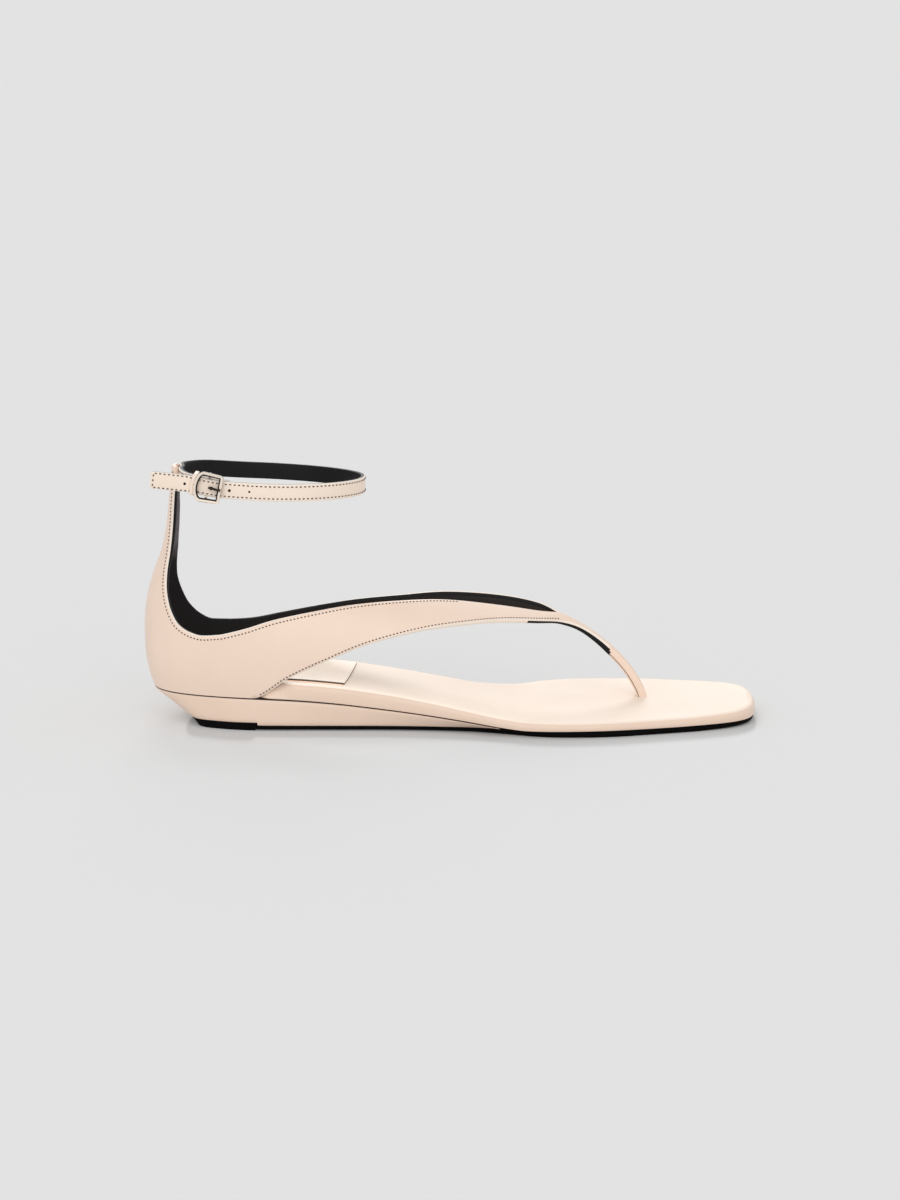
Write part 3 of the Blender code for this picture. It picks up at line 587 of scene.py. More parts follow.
def between(rows, key, column, value):
    """Smooth reading of one column of a table at a value of its key column."""
    keys = [getattr(row, key) for row in rows]
    values = [getattr(row, column) for row in rows]
    if value <= keys[0]:
        return values[0]
    if value >= keys[-1]:
        return values[-1]
    i = max(j for j in range(len(keys) - 1) if keys[j] <= value)
    slopes = [(values[j + 1] - values[j]) / (keys[j + 1] - keys[j]) for j in range(len(keys) - 1)]

    def tangent(j):
        if j == 0 or j == len(keys) - 1:
            return slopes[min(j, len(slopes) - 1)]
        if slopes[j - 1] * slopes[j] <= 0.0:
            return 0.0
        return 2.0 * slopes[j - 1] * slopes[j] / (slopes[j - 1] + slopes[j])

    span = keys[i + 1] - keys[i]
    t = (value - keys[i]) / span
    return (values[i] * (1 + 2 * t) * (1 - t) ** 2 + tangent(i) * span * t * (1 - t) ** 2
            + values[i + 1] * t * t * (3 - 2 * t) - tangent(i + 1) * span * t * t * (1 - t))


def smooth_path(points, steps, start=None, end=None):
    """Points on a smooth curve through the given ones, with steps to each span."""
    first = start or points[0] * 2 - points[1]
    last = end or points[-1] * 2 - points[-2]
    chain = [first] + list(points) + [last]
    path = []
    for i in range(1, len(chain) - 2):
        a, b, c, d = chain[i - 1:i + 3]
        for k in range(steps):
            t = k / steps
            path.append((b * 2 + (c - a) * t + (a * 2 - b * 5 + c * 4 - d) * t ** 2
                         + (b * 3 - a - c * 3 + d) * t ** 3) * 0.5)
    return path + [points[-1].copy()]


def running_lengths(path):
    lengths = [0.0]
    for a, b in zip(path, path[1:]):
        lengths.append(lengths[-1] + (b - a).length)
    return lengths


def span_at(lengths, target):
    """The span of a line that holds a length along it, and the share of the span up to there."""
    i = min(max(bisect_left(lengths, target) - 1, 0), len(lengths) - 2)
    return i, (target - lengths[i]) / (lengths[i + 1] - lengths[i])


def even_spacing(path, count):
    """The same line read again at count equal steps of its length."""
    lengths = running_lengths(path)
    result = []
    for k in range(count + 1):
        i, share = span_at(lengths, lengths[-1] * k / count)
        result.append(path[i].lerp(path[i + 1], min(share, 1.0)))
    return result


def share_between(value, start, run):
    """0 up to the start, 1 after the run, and even between them."""
    return min(max((value - start) / run, 0.0), 1.0)


def even_turns(count, offset=0.0):
    """Angles at equal steps round a circle."""
    return [2.0 * math.pi * (k + offset) / count for k in range(count)]


def tube_faces(rings):
    """Faces round a tube between its rings of point numbers."""
    return [(low[k - 1], low[k], high[k], high[k - 1])
            for low, high in zip(rings, rings[1:]) for k in range(len(low))]


def linked(name, data):
    """A new object in the scene."""
    thing = bpy.data.objects.new(name, data)
    bpy.context.collection.objects.link(thing)
    return thing


def outward_mesh(name, points, faces, finishes, finish_of=None):
    """A mesh from points in millimetres, with its faces turned outwards."""
    mesh = bpy.data.meshes.new(name)
    mesh.from_pydata([tuple((Vector(point) + SHIFT) * MILLIMETRE) for point in points], [], faces)
    for finish in finishes:
        mesh.materials.append(finish)
    if finish_of:
        mesh.polygons.foreach_set("material_index", finish_of)
    shape = bmesh.new()
    shape.from_mesh(mesh)
    bmesh.ops.recalc_face_normals(shape, faces=shape.faces)
    shape.to_mesh(mesh)
    shape.free()
    return mesh


def make_piece(name, points, faces, finishes, node=None, slot=None, finish_of=None, sharp=40.0):
    """A piece of the sandal, riding on the frame, in place of its node if it has one."""
    mesh = outward_mesh(name, points, faces, finishes, finish_of)
    mesh.shade_smooth()
    mesh.set_sharp_from_angle(angle=math.radians(sharp))
    piece = linked(name, mesh)
    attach(piece, "root")
    if node:
        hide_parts(node)
    return piece


# Sole

def sole_side(rows, other):
    """One side of the sole from heel to toe: each point holds its feather and its floor edge."""
    points = [Vector(row) for row in rows]
    path = smooth_path(points, OUTLINE_STEPS, start=Vector(other[1]), end=Vector(other[-2]))
    return even_spacing(path, SIDE_STEPS)


def finer_side(side, other):
    """The same side drawn smoothly through its points."""
    return smooth_path(side, FINER_STEPS, start=other[1], end=other[-2])


def with_station(side, x):
    """The same side with a point added where its feather edge passes x."""
    for i, (a, b) in enumerate(zip(side, side[1:])):
        if a[0] < x < b[0]:
            return side[:i + 1] + [a.lerp(b, (x - a[0]) / (b[0] - a[0]))] + side[i + 1:]
    return side


def side_run(side, back_x, stops):
    """A side from back_x through each stop (its station and how many steps lead to it)."""
    run = []
    for x, count in stops:
        part = side
        for station in (back_x, x):
            if station is not None:
                part = with_station(part, station)
        low = -math.inf if back_x is None else back_x - SAME_STATION
        high = math.inf if x is None else x + SAME_STATION
        stretch = even_spacing([point for point in part if low <= point[0] <= high], count)
        run += stretch[1:] if run else stretch
        back_x = x
    return run


def sole_height(column, x):
    return between(SOLE_HEIGHTS, "x", column, x)


def in_plan(point, draw):
    """A side's point on the floor plan, drawn from its feather edge (0) to its floor edge (1)."""
    return Vector((point[0] + (point[2] - point[0]) * draw, point[1] + (point[3] - point[1]) * draw, 0.0))


def sole_ring(sides, draw, inset, height):
    """The edge of a sole piece at one level, as its outer and its inner line."""
    size = inset if callable(inset) else (lambda point: inset)
    lines = []
    for side, turn in zip(sides, (1.0, -1.0)):
        plan = [in_plan(point, draw) for point in side]
        moved = []
        for i, point in enumerate(plan):
            ahead = plan[min(i + 1, len(plan) - 1)] - plan[max(i - 1, 0)]
            square = Vector((-ahead.y, ahead.x, 0.0)).normalized() * turn
            moved.append(point + square * size(point))
        lines.append(moved)
    for end, inward in ((0, 1.0), (-1, -1.0)):
        if sides[0][end] == sides[1][end]:
            tip = in_plan(sides[0][end], draw)
            tip.x += inward * size(tip)
            lines[0][end] = tip
            lines[1][end] = tip.copy()
    for line in lines:
        for point in line:
            point.z = height(point.x)
    return lines


def sole_shape(rings, bottom_columns=1, top_columns=1, dish=None):
    """Points and faces of a closed piece from rings, bottom to top."""
    points = []

    def add(point):
        points.append(point)
        return len(points) - 1

    def crossing(a, b, columns):
        """Numbers of the points that lead from point a across to point b."""
        line = [a]
        for k in range(1, columns):
            middle = points[a].lerp(points[b], k / columns)
            if dish:
                middle.z += dish(middle, k / columns)
            line.append(add(middle))
        return line + [b]

    count = len(rings[0][0])
    end_columns = min(bottom_columns, top_columns)
    loops = []
    ends = []
    for outer, inner in rings:
        outer_numbers = [add(point) for point in outer]
        back_shared = (inner[0] - outer[0]).length < SAME_POINT
        inner_numbers = [outer_numbers[0] if back_shared else add(inner[0])]
        inner_numbers += [add(point) for point in inner[1:-1]]
        tip_shared = (inner[-1] - outer[-1]).length < SAME_POINT
        inner_numbers.append(outer_numbers[-1] if tip_shared else add(inner[-1]))
        end = [outer_numbers[-1]]
        if not tip_shared:
            end = crossing(outer_numbers[-1], inner_numbers[-1], end_columns)
        loop = outer_numbers[:-1] + end + inner_numbers[-2::-1]
        loops.append([n for i, n in enumerate(loop) if n != loop[i - 1]])
        ends.append((outer_numbers, inner_numbers, end))
    faces = tube_faces(loops)
    for (outer, inner, end), columns in ((ends[0], bottom_columns), (ends[-1], top_columns)):
        rows = []
        for i in range(count - 1):
            shared = outer[i] == inner[i]
            rows.append([outer[i]] if shared else crossing(outer[i], inner[i], columns))
        rows.append(end)
        for low, high in zip(rows, rows[1:]):
            if len(low) == 1 or len(high) == 1:
                tip, line = (low[0], high) if len(low) == 1 else (high[0], low)
                faces.extend((tip, a, b) for a, b in zip(line, line[1:]))
                continue
            faces.extend((low[k], low[k + 1], high[k + 1], high[k]) for k in range(len(low) - 1))
    return points, faces


def make_outsole(sides, rubber):
    sides = [side_run(side, OUTSOLE_BACK_X, [(None, OUTSOLE_STEPS)]) for side in sides]
    rings = [sole_ring(sides, row.drawn_in, row.inset,
                       lambda x, row=row: sole_height(row.height, x) + row.above)
             for row in OUTSOLE_LEVELS]
    return make_piece("outsole_rubber", *sole_shape(rings), [rubber], "outsole", "sole_rubber")


def make_top_piece(sides, rubber):
    rings = []
    for row in TOP_PIECE_LEVELS:
        front_x = TOP_PIECE_FRONT_X - row.cut_back
        cut = [side_run(side, None, [(front_x, HEEL_STEPS)]) for side in sides]
        rings.append(sole_ring(cut, row.drawn_in, row.inset, lambda x, row=row: row.z))
    return make_piece("heel_top_rubber", *sole_shape(rings), [rubber], "heel_top_piece",
                      "top_piece_rubber")


def make_wedge(sides, leather):
    stops = [(WEDGE_STEP[0], HEEL_STEPS), (WEDGE_STEP[1], BREAST_STEPS), (WEDGE_FRONT_X, SHANK_STEPS)]
    sides = [side_run(side, None, stops) for side in sides]

    def bottom(x):
        over_top_piece = x < sum(WEDGE_STEP) / 2
        under = TOP_PIECE_LEVELS[-1].z if over_top_piece else sole_height("outsole_top", x)
        return under + SEAM

    def level(up):
        return lambda x: bottom(x) + (sole_height("feather", x) - FEATHER_GAP - bottom(x)) * up

    rings = [sole_ring(sides, row.drawn_in, row.inset, level(row.up)) for row in WEDGE_LEVELS]
    return make_piece("wedge_cover", *sole_shape(rings), [leather], "wedge_heel", "wedge_leather")


def make_feather_seam(sides, dark):
    """Dark strip in the gap where upper and insole's band meet the wedge: glue line and painted shade."""
    sides = [side_run(side, None, [(WEDGE_FRONT_X, SEAM_STEPS)]) for side in sides]

    def sunk(point):
        return SEAM_DEPTH + SEAM_SINKS * share_between(point.x, SEAM_SINKS_X, SEAM_RUN)

    rings = [sole_ring(sides, 0.0, sunk, lambda x, up=up: sole_height("feather", x) + up)
             for up in (SEAM_ROOM - FEATHER_GAP, -SEAM_ROOM)]
    return make_piece("feather_seam", *sole_shape(rings), [dark])


def counter_room(point, flush_x=BAND_FLUSH_X):
    """How far the insole is drawn in, to lie inside the counter and the straps' roots."""
    share = share_between(-point.x, -flush_x, BAND_RUN)
    return (UPPER_WALL + 2 * CLEARANCE) * share * share * (3 - 2 * share)


def insole_dish(point, across):
    """Shallow hollow across the insole, deeper in the heel seat."""
    share = share_between(-point.x, -HEEL_SEAT_FRONT_X, HEEL_SEAT_RUN)
    return -(INSOLE_DISH + HEEL_SEAT_DISH * share) * 4.0 * across * (1.0 - across)


def make_insole(sides, leather, band):
    sides = [side_run(side, None, [(None, INSOLE_STEPS)]) for side in sides]

    def foot_height(row):
        return lambda x: sole_height("feather", x) + row.up

    def band_height(row):
        """Below the insole's top, but over the band's foot where the insole is thin."""
        lowest = BAND_OVER_FOOT - row.below_top * BAND_SQUEEZE
        return lambda x: max(sole_height("insole_top", x) - row.below_top,
                             sole_height("feather", x) + lowest)

    rings = [sole_ring(sides, 0.0, lambda p, row=row: counter_room(p, BAND_ROOT_X) + row.inset,
                       foot_height(row)) for row in BAND_FOOT]
    rings += [sole_ring(sides, 0.0, lambda p, row=row: counter_room(p) + row.inset, band_height(row))
              for row in BAND_LEVELS]
    points, faces = sole_shape(rings, top_columns=CROSS_COLUMNS, dish=insole_dish)
    loop = 2 * (len(sides[0]) - 1)
    wrapped = loop * (len(rings) - 1 - BAND_TURNED)
    kinds = [EDGE] * wrapped + [LEATHER] * (len(faces) - wrapped)
    return make_piece("insole_cover", points, faces, [leather, band], "insole", "insole_leather", kinds)


def make_sock(sides, leather, edge):
    """Thin bare patch over the heel seat, with a slanted front edge."""
    sides = [side_run(side, None, [(front_x, HEEL_STEPS)]) for side, front_x in zip(sides, SOCK_FRONT)]
    rings = [sole_ring(sides, 0.0, SOCK_INSET + row.inset,
                       lambda x, row=row: sole_height("insole_top", x) + row.up)
             for row in SOCK_LEVELS]
    points, faces = sole_shape(rings, CROSS_COLUMNS, CROSS_COLUMNS, insole_dish)
    loop = len(sides[0]) + len(sides[1]) + CROSS_COLUMNS - 2
    wall = loop * (len(rings) - 1)
    # The edge wall takes the dark second finish: a seam line with painted shade along the patch's edge.
    kinds = [EDGE] * wall + [LEATHER] * (len(faces) - wall)
    return make_piece("heel_sock_patch", points, faces, [leather, edge], "heel_sock",
                      "sock_leather", kinds)


# Upper

def counter_sections(side, turn, column, stations):
    """Upright sections of the counter at distances along one side's feather edge."""
    plan = even_spacing([Vector((p[0], p[1], 0.0)) for p in side], PLAN_STEPS)
    lengths = running_lengths(plan)
    sections = []
    for along in stations:
        i, passed = span_at(lengths, along)
        foot = plan[i].lerp(plan[i + 1], passed)
        ahead = plan[i + PLAN_REACH] - plan[max(i - PLAN_REACH, 0)]
        outward = Vector((ahead.y, -ahead.x, 0.0)).normalized() * turn
        if along == 0.0:
            outward = Vector((-1.0, 0.0, 0.0))
        low = sole_height("feather", foot.x)
        top = between(COUNTER_TOP, "along", column, along)
        share = between(COUNTER_TOP, "along", "share", along)
        section = []
        for k in range(UPPER_COLUMNS + 1):
            z = low + (top - low) * k / UPPER_COLUMNS
            point = foot + outward * (between(HEEL_SWING, "z", "out", z) * share)
            section.append(Vector((point.x, point.y, z)))
        sections.append(section)
    return sections


def strap_section(row, turn):
    """One section of a strap, from its lower to its top edge, crowned outwards."""
    low = Vector((row.low_x, row.low_y, row.low_z))
    top = Vector((row.top_x, row.top_y, row.top_z))
    outward = Vector((1.0, 0.0, 0.0)).cross(top - low).normalized() * turn
    shares = [k / UPPER_COLUMNS for k in range(UPPER_COLUMNS + 1)]
    return [low.lerp(top, t) + outward * (row.belly * 4.0 * t * (1.0 - t)) for t in shares]


def post_section(row, turn):
    """Half a section of the toe post, from its side to its middle."""
    outs = [1.0 - k / UPPER_COLUMNS for k in range(UPPER_COLUMNS + 1)]
    return [Vector((row.x, row.y - turn * row.half_width * out, row.z - row.drop * out ** 2))
            for out in outs]


def upper_side(side, turn, column, strap):
    """All sections of one side of the upper, and how many of them are behind the fork."""
    stations = []
    for a, b in zip(COUNTER_TOP, COUNTER_TOP[1:]):
        stations += [a.along + (b.along - a.along) * k / COUNTER_STEPS for k in range(COUNTER_STEPS)]
    counter = counter_sections(side, turn, column, stations)
    last = COUNTER_TOP[-1].along
    lead, root = counter_sections(side, turn, column, [(COUNTER_TOP[-2].along + last) / 2, last])
    keys = [root] + [strap_section(row, turn) for row in strap]
    keys += [post_section(row, turn) for row in TOE_POST]
    columns = [smooth_path(list(line), UPPER_STEPS, start=lead[k]) for k, line in enumerate(zip(*keys))]
    rows = [list(row) for row in zip(*columns)]
    for row in rows:
        row[0].z = max(row[0].z, sole_height("feather", row[0].x))
    return counter + rows, len(counter) + UPPER_STEPS * (1 + len(strap))


def upper_wall(point):
    """Wall thickness, growing from the straps into the rolled toe post."""
    if point.x < TOE_POST[0].x:
        share = share_between(point.x, WALL_GROWS_X, TOE_POST[0].x - WALL_GROWS_X)
        return UPPER_WALL + (TOE_POST[0].wall - UPPER_WALL) * share
    return between(TOE_POST, "x", "wall", point.x)


def upper_sheet(sides):
    """The upper's outer face as one sheet, with the rows of vertices of both sides."""
    sheet = bmesh.new()
    outer, fork = upper_side(sides[0], 1.0, "outer", OUTER_STRAP)
    inner, _ = upper_side(sides[1], -1.0, "inner", INNER_STRAP)
    grids = []
    for rows in (outer, inner):
        grid = []
        for i, row in enumerate(rows):
            line = []
            for k, point in enumerate(row):
                if grids and (i == 0 or (i >= fork and k == UPPER_COLUMNS)):
                    vertex = grids[0][i][k]
                    vertex.co = (vertex.co + point) / 2.0
                else:
                    vertex = sheet.verts.new(point)
                line.append(vertex)
            grid.append(line)
        grids.append(grid)
    for grid, flip in zip(grids, (False, True)):
        for low, high in zip(grid, grid[1:]):
            for k in range(UPPER_COLUMNS):
                corners = (low[k], high[k], high[k + 1], low[k + 1])
                sheet.faces.new(reversed(corners) if flip else corners)
    sheet.normal_update()
    sheet.verts.index_update()
    return sheet, grids, fork


def edge_directions(sheet):
    """For each vertex on the sheet's edges, the direction in the sheet that points off it."""
    away = {}
    for edge in sheet.edges:
        if edge.is_boundary:
            a, b = edge.verts
            line = (b.co - a.co).normalized()
            off = (a.co + b.co) / 2 - edge.link_faces[0].calc_center_median()
            off = (off - line * off.dot(line)).normalized()
            for vertex in edge.verts:
                away[vertex] = away.get(vertex, Vector()) + off
    return {vertex: (off - vertex.normal * off.dot(vertex.normal)).normalized()
            for vertex, off in away.items()}


def make_upper(sides, finishes):
    """Counter, back strip, straps and toe post: one lined wall with rounded, painted edges."""
    sheet, grids, fork = upper_sheet(sides)
    away = edge_directions(sheet)
    points = [vertex.co.copy() for vertex in sheet.verts]
    count = len(points)
    for vertex in sheet.verts:
        inward = -vertex.normal
        inward.y *= share_between(-vertex.co.x, -TOE_POST[0].x, LEAN_FADE)
        points.append(vertex.co + inward.normalized() * upper_wall(vertex.co))
    rims = {}
    for vertex, off in away.items():
        rim = [vertex.index]
        inner = points[vertex.index + count]
        seated = vertex.co.z < sole_height("feather", vertex.co.x) + SEATED_ROOM
        for row in RIM:
            rim.append(len(points))
            points.append(vertex.co.lerp(inner, row.through) + off * (0.0 if seated else row.bulge))
        rims[vertex] = rim + [vertex.index + count]
    faces = []
    kinds = []

    def add(face, kind):
        """A face and its finish: leather at the strip's turned end and on the toe post."""
        middle = sum(points[n].x for n in face) / len(face)
        if min(points[n].z for n in face) > TURNED_END_Z:
            kind = LEATHER
        elif middle > LINING_END_X:
            kind = POST_SEAM if kind == POST_SEAM else LEATHER
        elif kind == POST_SEAM or (kind == HEEL_GRIP and middle > HEEL_GRIP_FRONT_X):
            kind = LINING
        faces.append(face)
        kinds.append(kind)

    for face in sheet.faces:
        numbers = [vertex.index for vertex in face.verts]
        add(tuple(numbers), LEATHER)
        add(tuple(n + count for n in reversed(numbers)), HEEL_GRIP)
    low_line = {row[0] for grid in grids for row in grid}
    for line in sheet.edges:
        if line.is_boundary:
            a, b = (rims[vertex] for vertex in line.verts)
            low = all(vertex in low_line for vertex in line.verts)
            painted = len(RIM) if low and line.verts[0].co.x < LOW_RIM_PAINTED_X else PAINTED_RIM
            for k in range(len(RIM) + 1):
                kind = EDGE if k < painted else LINING
                if k == POST_LINE and kind == LINING:
                    kind = POST_SEAM
                add((a[k], b[k], b[k + 1], a[k + 1]), kind)
    make_piece("upper_leather", points, faces, finishes, "upper", "upper_leather", kinds, sharp=70.0)
    outer_faces = [[vertex.index for vertex in face.verts] for face in sheet.faces]
    surface = BVHTree.FromPolygons(points[:count], outer_faces)
    seams = upper_seams(grids, fork, away, surface)
    sheet.free()
    return seams


def upper_seams(grids, fork, away, surface):
    """Sewn lines a little inside the upper's edges, as lists of places and surface normals."""
    seams = []
    for grid in grids:
        corner = COUNTER_STEPS * TOP_SEAM_FIRST_ROW
        top = [row[-1] for row in grid[corner:fork] if row[-1].co.x < TOP_SEAM_END_X]
        low = [row[0] for row in grid if LOW_SEAM[0] < row[0].co.x < LOW_SEAM[1] and row[0] in away]
        for line, inset in ((top, TOP_STITCH_INSET), (low, LOW_STITCH_INSET)):
            seam = []
            for vertex in line:
                place, normal, _, _ = surface.find_nearest(vertex.co - away[vertex] * inset)
                seam.append((place, normal))
            seams.append(seam)
    return seams


def make_stitches(name, seams, thread, pitch):
    """Short dashes of thread along sewn lines, sunk at both ends."""
    points = []
    faces = []
    for seam in seams:
        line = [place for place, _ in seam]
        lengths = running_lengths(line)
        count = max(int(lengths[-1] / pitch), 1)
        for stitch in range(count):
            rings = []
            for row in STITCH_FORM:
                target = (stitch + 0.5) * lengths[-1] / count + row.along * pitch * STITCH_SHARE / 2
                i, share = span_at(lengths, min(max(target, 0.0), lengths[-1]))
                normal = seam[i][1].lerp(seam[i + 1][1], share).normalized()
                along = (line[i + 1] - line[i]).normalized()
                across = along.cross(normal).normalized()
                middle = line[i].lerp(line[i + 1], share) + normal * row.lift
                rings.append(range(len(points), len(points) + THREAD_SIDES))
                points += [middle + (across * math.cos(turn) + normal * math.sin(turn))
                           * (THREAD_RADIUS * row.size) for turn in even_turns(THREAD_SIDES)]
            faces += tube_faces(rings) + [tuple(rings[0]), tuple(rings[-1])]
    return make_piece(name, points, faces, [thread], sharp=80.0)


# Ankle strap, buckle and keeper

def directions_along(path, closed=False, upright=None):
    """Each point of a path with its directions out and up."""
    upright = upright or Vector((0.0, 0.0, 1.0))
    count = len(path)
    rows = []
    for i, point in enumerate(path):
        back = path[i - 1] if closed or i else path[0]
        ahead = path[(i + 1) % count] if closed or i < count - 1 else path[-1]
        along = (ahead - back).normalized()
        up = (upright - along * along.dot(upright)).normalized()
        rows.append((point, along.cross(up), up))
    return rows


def swept(path, section, closed=False, across=None):
    """A section carried along a path, as points and faces. A section point is (out, up)."""
    points = [point + out * o + up * u
              for point, out, up in directions_along(path, closed, across) for o, u in section]
    count = len(path)
    size = len(section)
    faces = []
    for i in range(count if closed else count - 1):
        low, high = i * size, (i + 1) % count * size
        for k in range(size):
            n = (k + 1) % size
            faces.append((low + k, low + n, high + n, high + k))
    if not closed:
        faces.append(tuple(range(size)))
        faces.append(tuple((count - 1) * size + k for k in range(size)))
    return points, faces


def rounded_rectangle(half_width, half_height, radius, steps=ROUND_STEPS):
    """Outline of a rectangle with round corners, as (out, up)."""
    outline = []
    for quarter, (sign_w, sign_h) in enumerate(((1, 1), (-1, 1), (-1, -1), (1, -1))):
        for k in range(steps + 1):
            turn = math.pi / 2 * (quarter + k / steps)
            outline.append((sign_w * (half_width - radius) + radius * math.cos(turn),
                            sign_h * (half_height - radius) + radius * math.sin(turn)))
    return outline


def round_section(radius):
    """Outline of a round wire, as (out, up)."""
    return [(radius * math.cos(turn), radius * math.sin(turn)) for turn in even_turns(WIRE_SIDES, 0.5)]


def make_ankle_strap(leather, edge, lining, hole_wall, thread):
    """The strap with its holes and stitches, leather outside and lined inside."""
    path = smooth_path([Vector(row) for row in STRAP_ROUTE], STRAP_STEPS)
    half_thick, half_wide = STRAP_THICKNESS / 2, STRAP_WIDTH / 2
    section = rounded_rectangle(half_thick, half_wide, STRAP_ROUND)
    points, faces = swept(path, section)
    kinds = []
    size = len(section)
    for face in faces[:-2]:
        outs = [section[n % size][0] for n in face]
        if max(outs) < STRAP_FACE_DEPTH - half_thick:
            kinds.append(LEATHER)
        else:
            kinds.append(EDGE if max(outs) < STRAP_FACE_DEPTH - half_thick / 2 else LINING)
    strap = make_piece("ankle_strap_leather", points, faces, [leather, edge, lining, hole_wall],
                       "ankle_strap", "strap_leather", kinds + [EDGE, EDGE])
    punch_holes(strap, hole_wall)
    seams = [[], []]
    for i, (point, out, up) in enumerate(directions_along(path)):
        outside = -out
        free = 0.0
        if i > len(path) / 2:
            free = share_between(-point.x, -FREE_END_X, FREE_END_RUN)
        inset = STRAP_STITCH_INSET + (FREE_END_INSET - STRAP_STITCH_INSET) * free
        for seam, sign in zip(seams, (1.0, -1.0)):
            seam.append((point + up * (sign * (half_wide - inset)) + outside * half_thick, outside))
    seams = [seam[:-1] for seam in seams]
    (upper_end, outside), (lower_end, _) = (seam[-1] for seam in seams)
    seams.append([(upper_end.lerp(lower_end, k / STRAP_END_STEPS), outside)
                  for k in range(STRAP_END_STEPS + 1)])
    make_stitches("ankle_strap_stitches", seams, thread, STRAP_PITCH)


def punch_holes(strap, hole_wall):
    """Round holes in the strap, closed behind by its lining."""
    path = smooth_path([Vector(row) for row in STRAP_ROUTE[-FREE_RUN_ROWS:]], STRAP_STEPS)
    points = []
    faces = []
    for hole in STRAP_HOLES:
        middle = min(path, key=lambda point: abs(point.x - hole.x))
        rings = []
        for y in (middle.y - PUNCH_REACH, middle.y + HOLE_DEPTH):
            rings.append(range(len(points), len(points) + HOLE_SIDES))
            points += [Vector((hole.x + hole.radius * math.cos(turn), y,
                               middle.z + hole.radius * math.sin(turn)))
                       for turn in even_turns(HOLE_SIDES)]
        faces += tube_faces(rings) + [tuple(rings[0]), tuple(reversed(rings[1]))]
    punch = linked("punch", outward_mesh("punch", points, faces, [hole_wall]))
    cut = strap.modifiers.new("holes", "BOOLEAN")
    cut.operation = "DIFFERENCE"
    cut.object = punch
    cut.material_mode = "TRANSFER"
    view = bpy.context.evaluated_depsgraph_get()
    strap.data = bpy.data.meshes.new_from_object(strap.evaluated_get(view))
    strap.modifiers.clear()
    bpy.data.objects.remove(punch, do_unlink=True)


def buckle_place(along, inward, up):
    """A point given from the buckle's middle: along the strap, towards the ankle, and up."""
    slope = math.radians(BUCKLE_SLOPE)
    run = Vector((math.cos(slope), 0.0, -math.sin(slope)))
    rise = Vector((math.sin(slope), 0.0, math.cos(slope)))
    return Vector(BUCKLE_MIDDLE) + run * along + rise * up + Vector((0.0, inward, 0.0))


def buckle_outline():
    """The frame's middle line: a flat bar in front, widening rails and a round back."""
    front = BUCKLE_LENGTH / 2 - BUCKLE_WIRE
    back_centre = -front + BUCKLE_BACK_REACH
    corner_along, corner_up = front - BUCKLE_CORNER, BUCKLE_HALF_HEIGHT - BUCKLE_CORNER
    half = [(front, corner_up * k / BUCKLE_CORNER_STEPS) for k in range(BUCKLE_CORNER_STEPS + 1)]
    for k in range(1, BUCKLE_CORNER_STEPS + 1):
        turn = math.pi / 2 * k / BUCKLE_CORNER_STEPS
        half.append((corner_along + BUCKLE_CORNER * math.cos(turn),
                     corner_up + BUCKLE_CORNER * math.sin(turn)))
    for k in range(1, BUCKLE_ARC_STEPS + 1):
        turn = math.pi / 2 * (1.0 + k / BUCKLE_ARC_STEPS)
        half.append((back_centre + BUCKLE_BACK_REACH * math.cos(turn),
                     BUCKLE_BACK_HALF_HEIGHT * math.sin(turn)))
    return half + [(along, -up) for along, up in reversed(half[1:-1])]


def make_buckle(gold, painted_shade):
    """Flat-faced wire frame, walls in painted shade, with its hinge bar bent back behind the strap."""
    across = Vector((0.0, 1.0, 0.0))
    frame_path = [buckle_place(u, 0.0, w) for u, w in buckle_outline()]
    points, faces = swept(frame_path, BUCKLE_SECTION, closed=True, across=across)
    size = len(BUCKLE_SECTION)
    # Painted shade: all but the front faces of the frame take the dark gold.
    kinds = [LIT if i % size in BUCKLE_LIT else PAINTED_SHADE for i in range(len(faces))]
    behind = BUCKLE_WIRE + STRAP_THICKNESS + 2 * CLEARANCE + HINGE_BAR
    rail = (BUCKLE_HALF_HEIGHT + BUCKLE_BACK_HALF_HEIGHT) / 2
    turn = behind * HINGE_TURN
    bar_path = [buckle_place(0.0, inward, up) for inward, up in (
        (0.0, rail), (turn, rail), (behind, rail - behind + turn), (behind, 0.0),
        (behind, -rail + behind - turn), (turn, -rail), (0.0, -rail))]
    bar_points, bar_faces = swept(smooth_path(bar_path, HINGE_STEPS), round_section(HINGE_BAR),
                                  across=Vector((1.0, 0.0, 0.0)))
    start = len(points)
    faces = faces + [tuple(n + start for n in face) for face in bar_faces]
    kinds += [LIT] * len(bar_faces)
    return make_piece("buckle_frame", points + bar_points, faces, [gold, painted_shade], "buckle",
                      "buckle_metal", kinds, sharp=25.0)


def make_prong(gold):
    front = BUCKLE_LENGTH / 2 - BUCKLE_WIRE
    over_bar = -BUCKLE_WIRE - CLEARANCE - PRONG
    path = [buckle_place(front - row.back, over_bar + row.inward, 0.0) for row in PRONG_PATH]
    points, faces = swept(smooth_path(path, PRONG_STEPS), round_section(PRONG))
    return make_piece("buckle_tongue", points, faces, [gold], "buckle_prong", "prong_metal")


